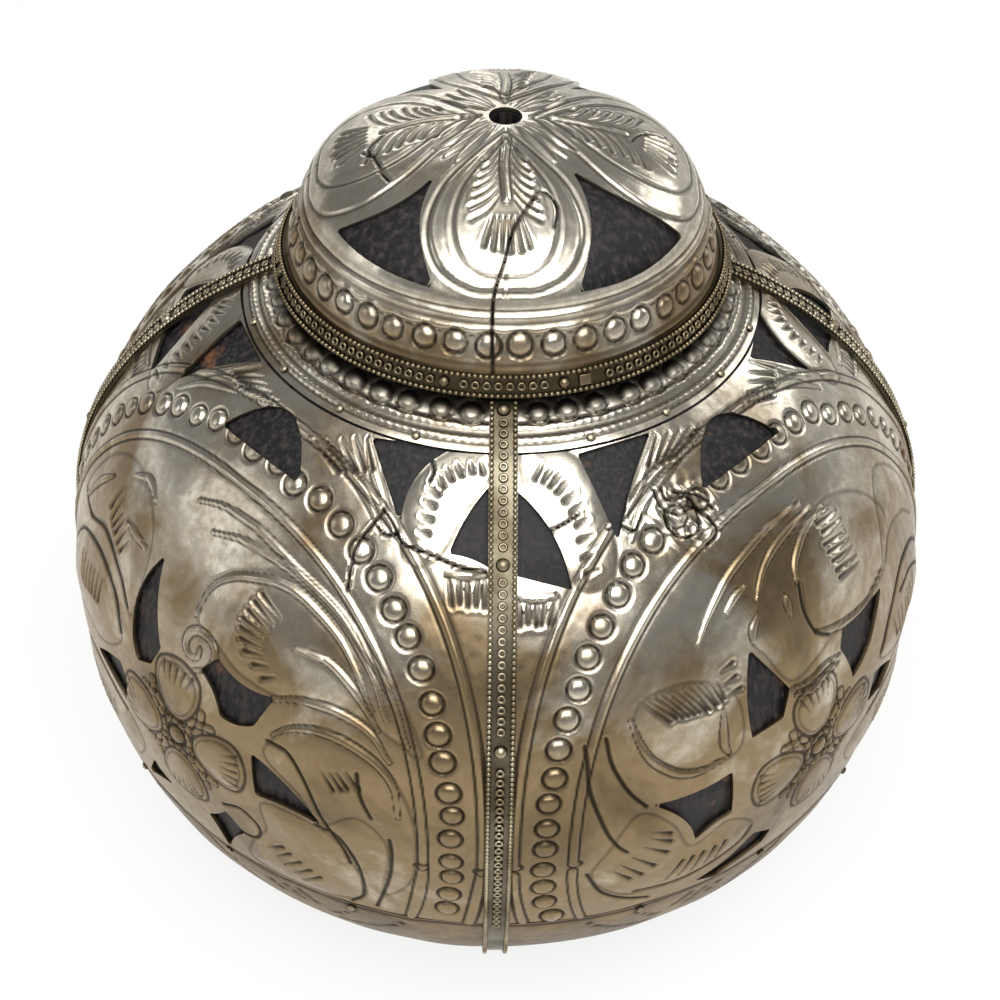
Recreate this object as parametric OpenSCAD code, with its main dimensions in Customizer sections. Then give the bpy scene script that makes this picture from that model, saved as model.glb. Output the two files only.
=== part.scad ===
// Lidded jar of turned dark wood, clad in pierced and embossed white metal sheet.
// Four panels meet at four upright seams, each covered by a filigree strip.

/* [Jar] */
// Widest diameter over the sheet
body_d = 130; // [124:1:136]
// Height that the shoulder curve would reach on the axis, above the widest line
shoulder_rise = 55.3; // [54.5:0.1:58]
// Depth that the lower curve would reach on the axis, below the widest line
foot_drop = 45.2; // [43:0.1:48]
// Fullness of the shoulder curve, 2 is an ellipse
shoulder_power = 2.04; // [1.95:0.01:2.15]
// Fullness of the lower curve
foot_power = 3.07; // [2.7:0.01:3.3]
// Diameter of the flat that the jar stands on
stand_d = 48; // [40:1:56]
// Thickness of the turned wall
wood_wall = 9; // [7:0.5:12]
// Diameter of the flat seat that carries the lid
seat_d = 51.4; // [50.6:0.2:53]
// Width of the seat round the neck
seat_ledge = 2; // [1.5:0.1:2.5]
// Thickness of the neck's wall
neck_wall = 3.7; // [3:0.1:5]
// Height of the neck above its seat
neck_rise = 7; // [5:0.5:8]

/* [Lid] */
// How far the lid's lower edge stands out over the seat
lid_overhang = 4.6; // [4:0.1:5.4]
// How far the lid's wall leans in, up to the raised rings where the dome starts
lid_wall_in = 4; // [3:0.1:5]
// Height from the lower edge to the raised rings
lid_wall_h = 9.9; // [9:0.1:11]
// Height of the dome above the raised rings
dome_h = 11.1; // [10:0.1:14]
// Fullness of the dome, 2 is an ellipse
dome_power = 1.75; // [1.6:0.01:2]
// Thickness of the wood at the crown
crown_t = 8; // [6:0.5:9]
// Diameter of the hole left by the lost finial
finial_hole_d = 3.8; // [3:0.1:5]
// Running clearance between the neck and the recess in the lid
neck_clearance = 0.35; // [0.2:0.05:0.8]

/* [Sheet] */
// Thickness of the metal sheet
sheet_t = 0.6; // [0.4:0.05:0.8]
// Glue line between the wood and the sheet
glue_t = 0.05; // [0.03:0.01:0.15]
// Gap between neighbouring sheets at a seam
seam_gap = 0.3; // [0.2:0.05:1]
// Depth of the base bowl's edge below the widest line
bowl_edge_drop = 13.5; // [12:0.5:16]
// Width of the shoulder collar, beyond the seat
collar_w = 9.8; // [9.6:0.1:11]

/* [Ornament] */
// Distance of each medallion's dotted border from the seams
medallion_margin = 3.96; // [3.6:0.02:5]
// Diameter of a domed punch dot
dot_d = 3.2; // [2.6:0.1:3.4]
// Height of a domed punch dot
dot_rise = 0.7; // [0.4:0.05:0.9]
// Spacing of the dots in a medallion's border
dot_pitch = 4.1; // [4:0.1:4.8]
// Width of a raised line
rib_w = 0.9; // [0.6:0.1:1.2]
// Height of a raised line
rib_rise = 0.35; // [0.2:0.05:0.5]
// Distance from the dotted border to the raised line on each side
rib_offset = 2.7; // [2.5:0.1:2.9]

/* [Filigree strips] */
// Width of a seam strip
strip_w = 3.5; // [3.2:0.1:4]
// Thickness of the strip's ribbon
ribbon_t = 0.4; // [0.3:0.05:0.6]
// Width of a beaded wire
wire_w = 0.65; // [0.5:0.05:0.75]
// Outer diameter of one small ring
ring_d = 1.25; // [1:0.05:1.3]
// Spacing of the small rings
ring_pitch = 1.4; // [1.35:0.05:2]
// Height of the small rings and wires above the ribbon
wire_rise = 0.45; // [0.3:0.05:0.6]
// Diameter of a strip pin's round head
pin_d = 1.75; // [1.5:0.05:2]
// Height of the strip around the lid's edge, up the slope
edge_strip_h = 3.1; // [3:0.1:3.6]
// How far a seam strip runs in under the lid's edge
strip_tuck = 0.8; // [0.4:0.1:1.4]

/* [Hidden] */
$fn = 48;

// Directions around the jar: the front is -Y
front = 0;
right = 90;
back = 180;
left = 270;
// Angle from a seam to the middle of a panel, and the tilt of the drawings seen from above
half_quarter = 45;
tilt = 45;

body_r = body_d / 2;
neck_d = seat_d - 2 * seat_ledge;
mouth_d = neck_d - 2 * neck_wall;
collar_d = seat_d + 2 * collar_w;
lid_d = seat_d + 2 * lid_overhang;
dome_d = lid_d - 2 * lid_wall_in;
medallion_r = body_r * sin(half_quarter) - medallion_margin;

// Widest line's height above the stand, from the flat's place on the lower curve
widest_z = foot_drop * pow(1 - pow(stand_d / body_d, foot_power), 1 / foot_power);
skin_t = sheet_t + glue_t;
seat_step = 0.3;
dot_ball_r = (pow(dot_d / 2, 2) + pow(dot_rise, 2)) / (2 * dot_rise);
reach = body_d;

// Radius of the jar's curve at height h from the widest line, moved out by off
function jar_r(h, off = 0) =
    let(
        span = (h >= 0 ? shoulder_rise : foot_drop) + off,
        power = h >= 0 ? shoulder_power : foot_power)
    (body_r + off) * pow(max(0, 1 - pow(min(abs(h) / span, 1), power)), 1 / power);

// Height from the widest line where the curve has radius r, on the shoulder or below
function shoulder_h(r, off = 0) =
    (shoulder_rise + off) * pow(1 - pow(r / (body_r + off), shoulder_power), 1 / shoulder_power);
function foot_h(r, off = 0) =
    -(foot_drop + off) * pow(1 - pow(r / (body_r + off), foot_power), 1 / foot_power);

// Points of the jar's curve from the foot to the top, moved out by off, at even angles
curve_step = 7.5;
function curve_point(a, off) =
    let(power = a < 0 ? foot_power : shoulder_power, span = a < 0 ? foot_drop : shoulder_rise)
    [(body_r + off) * pow(cos(a), 2 / power),
        widest_z + sign(a) * (span + off) * pow(sin(abs(a)), 2 / power)];
function curve(off) = [for (a = [-90 : curve_step : 90]) curve_point(a, off)];

// Place and outward direction on the jar, at direction az and height h from the widest line
function round_dir(az) = [sin(az), -cos(az), 0];
bowl_edge_z = widest_z - bowl_edge_drop;
bowl_edge_r = jar_r(seam_gap - bowl_edge_drop);
function jar_point(az, h) = jar_r(h) * round_dir(az) + [0, 0, widest_z + h];
function jar_lean(h) =
    let(
        step = 0.05,
        run = jar_r(h - step) - jar_r(h + step))
    atan2(run, 2 * step);

// Stands a shape on the sheet at direction az and height h, its +Z pointing outwards
module on_jar(az, h) {
    translate(jar_point(az, h))
        rotate([0, 0, az])
            rotate([90 - jar_lean(h), 0, 0])
                children();
}

// Lays a flat drawing against the jar from outside, seen from direction az and from rise degrees above
module seen_from(az, rise) {
    translate([0, 0, widest_z])
        rotate([0, 0, az])
            rotate([90 - rise, 0, 0])
                linear_extrude(reach) children();
}

seat_h = shoulder_h(seat_d / 2);
cavity_high = shoulder_h(mouth_d / 2, -skin_t - wood_wall);

// A closed outline whose sides bow outwards by a share of their length
bow_steps = 5;
function bowed(corners) =
    [for (i = [0 : len(corners) - 1])
        let(
            a = corners[i],
            b = corners[(i + 1) % len(corners)],
            run = [b[0] - a[0], b[1] - a[1]],
            out = [run[1], -run[0]],
            steps = a[2] == 0 ? 1 : bow_steps)
        for (k = [0 : steps - 1])
            let(t = k / steps)
            [a[0], a[1]] + run * t + out * (a[2] * 4 * t * (1 - t))];

// An outline drawn to another size or side, and moved up
function placed(outline, kx, ky, up = 0) =
    [for (c = outline) [c[0] * kx, c[1] * ky + up, c[2] * sign(kx * ky)]];

// The drawings below were made for a medallion of this radius
drawn_r = 42;
drawn = medallion_r / drawn_r;

// Openings inside a medallion, seen square on: corners with the bow of the side that follows
openings_a = [
    [[-5.4, 28.4, 0.14], [-7.3, 15.5, 0.05], [-5.5, 13.2, 0], [-2.5, 14.7, 0], [-1.1, 18.1, -0.06]],
    [[6.4, 19.5, -0.1], [11, 15, 0.1], [16.1, 16.3, 0], [17.9, 21.3, -0.1], [8.6, 22.4, 0]],
    [[16.4, 12, 0], [17.5, 4.9, -0.08], [26.8, 4.1, 0.1]],
    [[-10, 9.3, 0.05], [-18.6, 4, -0.05], [-9, 2.4, 0], [-7.8, 7, 0]],
    [[-3.9, -5.9, 0], [-7.5, -13, -0.08], [2.5, -7.3, -0.15]],
    [[11.8, -3, -0.05], [7.9, -7.3, -0.08], [10.7, -14.4, -0.08], [14.6, -6.2, 0]]];
openings_b = [
    [[-12.5, 25.9, 0.08], [-15.2, 14.5, 0], [-10, 14.8, 0], [-8.2, 18.4, 0]],
    [[3.2, 20.4, 0], [2.1, 18.1, -0.05], [4.3, 11.9, 0.05], [9.3, 14.1, 0], [14.3, 19.5, 0]],
    [[10.7, 7.7, 0], [9.6, 2.7, 0], [14.3, 1.3, 0], [17.5, 3.8, 0.05]],
    [[-29.6, 9.9, -0.1], [-23.6, -0.5, -0.1], [-18.6, 2.4, 0], [-18.6, 10.6, -0.05]],
    [[-22.1, -11.9, 0], [-18.6, -13.4, 0], [-11.2, -10.8, 0], [-10, -8.4, 0], [-13.6, -6.2, -0.06]]];
// Openings between two medallions, seen along the seam and tilted
openings_seam = [
    [[-15.8, 9.5, 0], [-12.8, -1, -0.18], [-7, 8.2, 0]],
    [[9, 7.8, 0], [13.8, -2.5, -0.03], [18, 10.4, 0]],
    [[0, 4.6, 0.06], [-6.5, -4, -0.07], [-1, -6.4, 0], [8, -8.5, 0.11]]];
// Opening above a medallion, seen tilted
opening_crown = [[-8, -1.2, 0], [7.5, -1.2, 0.42]];

// Raised leaves round each flower, seen square on
leaves_a = [
    [[36, 19, 0.33], [3.6, 25, -0.03]],
    [[34, -8, 0.46], [18.6, 14, -0.22]],
    [[29, -12.4, 0.33], [18.6, 3.6, 0.28]],
    [[-8.6, 23, 0.4], [-31, 21, 0.03]],
    [[-10, 13, 0.39], [-36, -1, -0.02]],
    [[-8, -3, 0.32], [-33, -10, 0.22]]];
leaves_b = [
    [[20, 25, 0.29], [-11.4, 25, 0.15]],
    [[-15.8, 18, 0.4], [-29.4, 20, 0.4]],
    [[-15, -3.6, -0.18], [-31, 8.8, 0.55]],
    [[36.4, 1, 0.42], [12.2, 9, 0]],
    [[32.6, -10.4, 0.28], [6, -4.4, 0.18]],
    [[31, 18, 0.35], [17, 25, 0.12]]];
// Raised leaves on the two sides of a seam, seen along it and tilted
leaf_left_of_seam = [[-2.4, 8.2, 0.42], [-10.4, -6, -0.14]];
leaf_right_of_seam = [[12, -8.6, 0.3], [2.6, 8.8, -0.02]];

flower_a = [3.6, 6.6];
flower_b = [-3.2, 5];
petal_d = 9;
petal_out = 7.4;
flower_eye_d = 4;

panel_low = seam_gap - bowl_edge_drop;
panel_high = shoulder_h(collar_d / 2 + seam_gap);

// The tilted drawings hang from the panel's upper edge, which they show at this height
drawn_edge = 7.6;
panel_edge = (panel_high - collar_d / 2 - seam_gap) * sin(tilt);
tilted_up = panel_edge - drawn_edge * drawn;

module outlines(list, up = 0) {
    for (outline = list) polygon(bowed(placed(outline, drawn, drawn, up)));
}

// What the jar's curve encloses between two heights from the widest line
module jar_outline(low, high, off) {
    intersection() {
        polygon(curve(off));
        translate([0, widest_z + low]) square([reach, high - low]);
    }
}

// Domed dots of a medallion's border, on the circle that shows square on
module border_dots(az) {
    count = floor(360 * PI / 180 * medallion_r / dot_pitch);
    lowest = panel_low + dot_d / 2;
    highest = panel_high - dot_d / 2;
    for (i = [0 : count - 1]) {
        a = 360 * (i + 0.5) / count;
        across = medallion_r * cos(a);
        h = medallion_r * sin(a);
        if (h > lowest && h < highest)
            on_jar(az + asin(across / jar_r(h)), h)
                translate([0, 0, dot_rise - dot_ball_r]) sphere(dot_ball_r);
    }
}

// The border lines stop where the strips over the seams begin
strip_clear = 0.15;
line_end_r = jar_r(medallion_r / 4);
line_end = line_end_r * sin(half_quarter - asin((strip_w / 2 + strip_clear) / line_end_r));

// Raised border lines, leaves and the flower of one medallion
module raised_drawing(leaves, flower) {
    outlines(leaves);
    intersection() {
        square([2 * line_end, body_d], center = true);
        for (r = [medallion_r + rib_offset, medallion_r - rib_offset, medallion_r - rib_offset - 2 * rib_w])
            difference() {
                circle(r + rib_w / 2, $fn = 96);
                circle(r - rib_w / 2, $fn = 96);
            }
    }
    translate(flower * drawn) {
        circle(d = flower_eye_d * drawn);
        for (i = [0 : 3]) rotate(90 * i + 4) translate([petal_out * drawn, 0]) circle(d = petal_d * drawn);
    }
}

rib_inset = 0.4;

// One of the four embossed and pierced panels, in the quarter whose middle is at az
module panel(az, openings, leaves, flower) {
    color("silver")
        difference() {
            union() {
                rotate([0, 0, az - 90 - half_quarter])
                    rotate_extrude(angle = 2 * half_quarter)
                        jar_outline(panel_low, panel_high, 0);
                intersection() {
                    rotate([0, 0, az + 90])
                        rotate_extrude()
                            jar_outline(panel_low + rib_inset, panel_high - rib_inset, rib_rise);
                    union() {
                        seen_from(az, 0) raised_drawing(leaves, flower);
                        seen_from(az - half_quarter, tilt) outlines([leaf_right_of_seam], tilted_up);
                        seen_from(az + half_quarter, tilt) outlines([leaf_left_of_seam], tilted_up);
                    }
                }
                border_dots(az);
            }
            rotate_extrude() jar_outline(-foot_drop / 2, seat_h, -sheet_t);
            seen_from(az, 0) outlines(openings);
            seen_from(az, tilt) outlines([opening_crown], tilted_up);
            for (side = [-half_quarter, half_quarter]) {
                seen_from(az + side, tilt) outlines(openings_seam, tilted_up);
                rotate([0, 0, az + side])
                    translate([-seam_gap / 2, -reach, 0]) cube([seam_gap, reach, reach]);
            }
        }
}

foot_r = stand_d / 2 - glue_t;

// Turned wooden pot: one piece with a foot, a seat, a neck and a round hollow
module body_core() {
    color([0.14, 0.11, 0.11])
        rotate_extrude()
            difference() {
                union() {
                    jar_outline(-widest_z, seat_h - seat_step, -skin_t);
                    square([foot_r, 2 * skin_t]);
                    translate([0, widest_z]) square([seat_d / 2, seat_h]);
                    translate([0, widest_z]) square([neck_d / 2, seat_h + neck_rise]);
                }
                jar_outline(-foot_drop + skin_t + wood_wall, cavity_high, -skin_t - wood_wall);
                translate([0, widest_z]) square([mouth_d / 2, reach]);
            }
}

// Plain sheet bowl round the foot, open where the wood stands on the ground and ending clear of it
foot_gap = 0.6;
module base_bowl() {
    color([0.62, 0.58, 0.5])
        rotate_extrude()
            difference() {
                jar_outline(-widest_z, -bowl_edge_drop, 0);
                jar_outline(-widest_z, 0, -sheet_t);
                square([stand_d / 2 + foot_gap, widest_z]);
            }
}

collar_dots = 48;
collar_dot_out = 5.1;
collar_dot_d = seat_d + 2 * collar_dot_out;
collar_line_outs = [6.9, 8.4];
clear_of_seam = 5;

// Collar on the shoulder, with its dots and two rope-like lines, under the lid's edge
module shoulder_collar() {
    collar_low = shoulder_h(collar_d / 2);
    color("silver")
        difference() {
            union() {
                rotate_extrude() jar_outline(collar_low, seat_h, 0);
                for (out = collar_line_outs, side = [front, right, back, left])
                    rotate([0, 0, side - 90 + clear_of_seam])
                        rotate_extrude(angle = 90 - 2 * clear_of_seam)
                            translate([seat_d / 2 + out, widest_z + shoulder_h(seat_d / 2 + out)])
                                polygon([[-rib_w / 2, -rib_w / 2], [rib_w / 2, -rib_w / 2],
                                    [rib_w / 2, 0], [rib_w / 4, rib_rise],
                                    [-rib_w / 4, rib_rise], [-rib_w / 2, 0]]);
                for (i = [0 : collar_dots - 1])
                    if (i % (collar_dots / 4) != 0)
                        on_jar(360 * i / collar_dots, shoulder_h(collar_dot_d / 2))
                            translate([0, 0, dot_rise - dot_ball_r]) sphere(dot_ball_r);
            }
            rotate_extrude() jar_outline(0, seat_h + sheet_t, -sheet_t);
            cylinder(d = seat_d + 2 * seat_step, h = reach);
        }
}

strip_top_d = lid_d - 2 * strip_tuck;
strip_end_gap = 4;
strip_low_h = foot_h(stand_d / 2 + strip_end_gap);
ring_low_h = seam_gap - bowl_edge_drop;

// Band on the sheet's outside between two offsets, cut to a slab along the seam
module seam_band(az, off_in, off_out, x_from, x_to) {
    half = 2 * atan(strip_w / strip_top_d);
    high = shoulder_h(strip_top_d / 2);
    intersection() {
        rotate([0, 0, az - 90 - half])
            rotate_extrude(angle = 2 * half)
                difference() {
                    jar_outline(strip_low_h, high, off_out);
                    jar_outline(strip_low_h - 1, high + 1, off_in);
                }
        rotate([0, 0, az]) translate([x_from, -reach, 0]) cube([x_to - x_from, reach, reach]);
    }
}

ribbon_off = glue_t;
wire_off = ribbon_off + ribbon_t + glue_t;

module seam_ribbon(az) {
    color([0.55, 0.5, 0.42])
        seam_band(az, ribbon_off, ribbon_off + ribbon_t, -strip_w / 2, strip_w / 2);
}

module seam_wires(az) {
    color([0.6, 0.55, 0.46]) {
        seam_band(az, wire_off, wire_off + wire_rise, -strip_w / 2, wire_w - strip_w / 2);
        seam_band(az, wire_off, wire_off + wire_rise, strip_w / 2 - wire_w, strip_w / 2);
    }
}

// Heights at equal steps along the seam's curve
trace_steps = 240;
trace_top = shoulder_h(strip_top_d / 2);
function trace_h(i) = strip_low_h + (trace_top - strip_low_h) * i / trace_steps;
trace_run = [for (i = [0 : trace_steps - 1])
    let(a = trace_h(i), b = trace_h(i + 1)) norm([jar_r(b) - jar_r(a), b - a])];
trace_sum = [for (i = 0, sum = 0; i <= trace_steps; sum = sum + (i < trace_steps ? trace_run[i] : 0),
    i = i + 1) sum];
seam_length = trace_sum[trace_steps];
function height_along(s, i = 0) =
    i >= trace_steps ? trace_top :
    trace_sum[i + 1] >= s
        ? trace_h(i) + (s - trace_sum[i]) / trace_run[i] * (trace_h(i + 1) - trace_h(i))
        : height_along(s, i + 1);

// Distance of the pins from the strip's upper end
pin_places = [1.2, 20.5, 43.5];
ring_count = floor(seam_length / ring_pitch) - 1;

module small_ring() {
    linear_extrude(wire_rise)
        difference() {
            circle(d = ring_d, $fn = 16);
            circle(d = ring_d * 0.45, $fn = 16);
        }
}

module seam_rings(az) {
    color([0.64, 0.6, 0.52])
        for (i = [1 : ring_count]) {
            s = ring_pitch * i;
            near_pin = min([for (p = pin_places) abs(seam_length - p - s)]);
            h = height_along(s);
            if (near_pin > (pin_d + ring_d) / 2 && h > ring_low_h)
                on_jar(az, h) translate([0, 0, wire_off]) small_ring();
        }
}

module round_pin(d, rise) {
    steps = 4;
    rotate_extrude()
        polygon(concat([[0, 0]],
            [for (i = [0 : steps]) let(a = 90 * i / steps) [d / 2 * cos(a), rise * sin(a)]]));
}

pin_rise = 0.8;
module strip_pins() {
    color([0.66, 0.62, 0.54])
        for (az = [front, right, back, left], p = pin_places)
            on_jar(az, height_along(seam_length - p))
                translate([0, 0, wire_off]) round_pin(pin_d, pin_rise);
}

tack_d = 1.2;
tack_rise = 0.4;
tack_inset = 1.5;
tacks_per_quarter = 4;
module sheet_tacks() {
    color([0.6, 0.57, 0.5])
        for (q = [0 : 3], i = [1 : tacks_per_quarter])
            let(az = 90 * q + 90 * i / (tacks_per_quarter + 1)) {
                on_jar(az, shoulder_h(collar_d / 2 + tack_inset))
                    translate([0, 0, glue_t]) cylinder(d = tack_d, h = tack_rise);
                on_jar(az, -bowl_edge_drop - tack_inset)
                    translate([0, 0, glue_t]) cylinder(d = tack_d, h = tack_rise);
            }
}

// Lid: its outside is a leaning wall and a dome, both moved in or out by off
lid_z = widest_z + seat_h + 0.1;
ring_line_z = lid_z + lid_wall_h;
lid_top_z = ring_line_z + dome_h;
dome_steps = 14;
function dome_pts(off) =
    [for (i = [0 : dome_steps])
        let(a = 90 * i / dome_steps)
        [(dome_d / 2 + off) * pow(cos(a), 2 / dome_power),
            ring_line_z + (dome_h + off) * pow(sin(a), 2 / dome_power)]];
wall_lean = atan2((lid_d - dome_d) / 2, lid_wall_h);
function wall_r(z, off = 0) = lid_d / 2 + off / cos(wall_lean) - (z - lid_z) * tan(wall_lean);

crown_hollow_share = 0.55;
module lid_core() {
    neck_hole_r = neck_d / 2 + neck_clearance;
    recess_h = neck_rise + neck_clearance;
    hollow_r = mouth_d / 2;
    color([0.14, 0.11, 0.11])
        difference() {
            rotate_extrude()
                difference() {
                    polygon(concat(
                        [[0, lid_z], [wall_r(lid_z, -skin_t), lid_z]],
                        dome_pts(-skin_t)));
                    square([neck_hole_r, lid_z + recess_h]);
                    polygon([[0, 0], [hollow_r, 0], [hollow_r, lid_z + recess_h],
                        [hollow_r * crown_hollow_share, lid_top_z - skin_t - crown_t],
                        [0, lid_top_z - skin_t - crown_t]]);
                }
            translate([0, 0, lid_z]) cylinder(d = finial_hole_d, h = reach);
        }
}

lid_dot_up = 5.9;
lid_dots = 43;
ring_line_drops = [2.6, 1.2];

// The lid's drawings were made for a dome of this diameter; the side petals are wider
lid_drawn_d = 52.6;
lid_drawn = dome_d / lid_drawn_d;
petal_widths = [1, 1.3, 1, 1.3];
opening_lid = [[8.1, -9.3, -0.12], [9.5, -23.6, 0.075], [21, -14, -0.14]];
leaf_outer = [[0, -5.2, 0.34], [0, -24.2, 0.34]];
leaf_inner = [[0, -6.8, 0.3], [0, -22.6, 0.3]];
midrib = [-15.4, -6];

// Four bowed triangles between the petals, seen from above
module lid_openings() {
    for (x = [-1, 1], y = [-1, 1])
        polygon(bowed(placed(opening_lid, x * lid_drawn, y * lid_drawn)));
}

module petal_lines() {
    for (i = [0 : len(petal_widths) - 1])
        rotate(90 * i) {
            wide = petal_widths[i] * lid_drawn;
            difference() {
                polygon(bowed(placed(leaf_outer, wide, lid_drawn)));
                polygon(bowed(placed(leaf_inner, wide, lid_drawn)));
            }
            translate([-rib_w / 2, midrib[0] * lid_drawn])
                square([rib_w, (midrib[1] - midrib[0]) * lid_drawn]);
        }
}

// The crack through the front petal and the wall
crack_w = 0.3;
crack = [[3.2, -15.2], [0.75, -19.5], [-0.25, -23], [-1.5, -26], [-1.4, -29.2]] * lid_drawn;
module crack_outline() {
    n = len(crack) - 1;
    polygon(concat(crack, [for (i = [n : -1 : 0]) crack[i] + [crack_w, 0]]));
}

function wall_line(z) =
    [[wall_r(z), z], [wall_r(z + rib_w / 4, rib_rise), z + rib_w / 4],
        [wall_r(z + rib_w * 0.75, rib_rise), z + rib_w * 0.75], [wall_r(z + rib_w), z + rib_w]];
module lid_solid(off, lines = []) {
    rotate_extrude()
        polygon(concat(
            [[0, lid_z], [wall_r(lid_z, off), lid_z]],
            [for (z = lines) each wall_line(z)],
            dome_pts(off)));
}

module lid_sheet() {
    sheet_hole_d = finial_hole_d + 0.5;
    lid_dot_z = lid_z + lid_dot_up;
    color("silver")
        difference() {
            union() {
                lid_solid(0, [for (drop = ring_line_drops) ring_line_z - drop]);
                for (i = [0 : lid_dots - 1])
                    rotate([0, 0, 360 * (i + 0.5) / lid_dots])
                        translate([0, -wall_r(lid_dot_z), lid_dot_z])
                            rotate([90 - wall_lean, 0, 0])
                                translate([0, 0, dot_rise - dot_ball_r]) sphere(dot_ball_r);
                intersection() {
                    lid_solid(rib_rise);
                    translate([0, 0, ring_line_z]) linear_extrude(reach) petal_lines();
                }
            }
            translate([0, 0, -0.01]) lid_solid(-sheet_t);
            translate([0, 0, ring_line_z - 0.5]) linear_extrude(reach) lid_openings();
            translate([0, 0, lid_z]) linear_extrude(reach) crack_outline();
            translate([0, 0, lid_z]) cylinder(d = sheet_hole_d, h = reach);
        }
}

// Point on the leaning wall, at distance up the slope from the lower edge and moved out by off
function wall_point(up, off) =
    [lid_d / 2 - up * sin(wall_lean) + off * cos(wall_lean),
        lid_z + up * cos(wall_lean) + off * sin(wall_lean)];

// Band round the lid's lower edge, between two offsets and two distances up the slope
module edge_band(off_in, off_out, from, to) {
    rotate_extrude()
        polygon([wall_point(from, off_in), wall_point(from, off_out),
            wall_point(to, off_out), wall_point(to, off_in)]);
}

module lid_edge_ribbon() {
    color([0.5, 0.44, 0.34]) edge_band(ribbon_off, ribbon_off + ribbon_t, 0, edge_strip_h);
}

module lid_edge_wires() {
    color([0.55, 0.49, 0.38]) {
        edge_band(wire_off, wire_off + wire_rise, 0, wire_w);
        edge_band(wire_off, wire_off + wire_rise, edge_strip_h - wire_w, edge_strip_h);
    }
}

// Stands a shape on the lid's edge strip at direction az
module on_edge(az) {
    middle = wall_point(edge_strip_h / 2, wire_off);
    rotate([0, 0, az])
        translate([0, -middle[0], middle[1]])
            rotate([90 - wall_lean, 0, 0])
                children();
}

edge_ring_count = floor(PI * lid_d / ring_pitch);
edge_pin_az = [-14, 14, 104, 194, 284];
lap_az = 19;
lap_half = 2.4;
module lid_edge_rings() {
    color([0.6, 0.54, 0.43])
        for (i = [0 : edge_ring_count - 1]) {
            az = 360 * i / edge_ring_count - 180;
            clear = (pin_d + ring_d) / lid_d * 180 / PI;
            near = min([for (p = edge_pin_az) abs((az - p + 540) % 360 - 180)]);
            if (near > clear && abs(az - lap_az) > lap_half + clear / 2)
                on_edge(az) small_ring();
        }
}

edge_pin_d = pin_d - 0.25;
module lid_edge_pins() {
    color([0.62, 0.57, 0.46]) for (az = edge_pin_az) on_edge(az) round_pin(edge_pin_d, pin_rise);
}

// Where the edge strip's two ends lap
lap_w = 1.6;
module lid_edge_lap() {
    gap = 0.1;
    color([0.5, 0.44, 0.34])
        on_edge(lap_az)
            linear_extrude(wire_rise)
                square([lap_w, edge_strip_h - 2 * wire_w - 2 * gap], center = true);
}

body_core();
base_bowl();
panel(front - half_quarter, openings_a, leaves_a, flower_a);  // panel_front_left
panel(front + half_quarter, openings_b, leaves_b, flower_b);  // panel_front_right
panel(back - half_quarter, openings_a, leaves_a, flower_a);  // panel_back_right
panel(back + half_quarter, openings_b, leaves_b, flower_b);  // panel_back_left
shoulder_collar();
seam_ribbon(front);  // seam_ribbon_front
seam_ribbon(right);  // seam_ribbon_right
seam_ribbon(back);  // seam_ribbon_back
seam_ribbon(left);  // seam_ribbon_left
seam_wires(front);  // seam_wires_front
seam_wires(right);  // seam_wires_right
seam_wires(back);  // seam_wires_back
seam_wires(left);  // seam_wires_left
seam_rings(front);  // seam_rings_front
seam_rings(right);  // seam_rings_right
seam_rings(back);  // seam_rings_back
seam_rings(left);  // seam_rings_left
strip_pins();
sheet_tacks();
lid_core();
lid_sheet();
lid_edge_ribbon();
lid_edge_wires();
lid_edge_rings();
lid_edge_pins();
lid_edge_lap();
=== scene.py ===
import math
from functools import partial

import bpy
import numpy as np
from mathutils import Matrix, Vector


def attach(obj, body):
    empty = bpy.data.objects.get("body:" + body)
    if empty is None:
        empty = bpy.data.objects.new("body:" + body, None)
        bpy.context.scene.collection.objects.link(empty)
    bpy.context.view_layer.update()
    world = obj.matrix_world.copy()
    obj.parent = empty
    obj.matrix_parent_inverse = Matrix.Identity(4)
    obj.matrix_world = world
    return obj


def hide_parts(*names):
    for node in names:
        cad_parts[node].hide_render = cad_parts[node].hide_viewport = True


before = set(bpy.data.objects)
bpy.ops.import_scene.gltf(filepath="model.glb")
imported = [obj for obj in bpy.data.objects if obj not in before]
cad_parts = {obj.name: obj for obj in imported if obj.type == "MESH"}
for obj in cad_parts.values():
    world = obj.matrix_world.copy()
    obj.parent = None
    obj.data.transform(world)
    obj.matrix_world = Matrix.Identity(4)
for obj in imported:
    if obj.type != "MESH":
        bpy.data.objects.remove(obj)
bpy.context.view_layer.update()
mm = 0.001
print("frame loaded")


# camera, fitted to the jar's outline and seam in the picture
cameraSetup = {
    "distance": 240.0,  # mm from the middle of the widest line
    "elevation": 44.97,
    "turn": -1.1,  # the front seam stands a little to the right of the camera
    "focal": 1.4967,  # share of the picture's side
    "middle": (0.4968, 0.5183),  # where the middle of the widest line falls, from the upper left
    "roll": 1.31,
    "targetHeight": 44.5,
    "sensor": 36.0,
    "nearest": 0.01,  # metres
}


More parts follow.
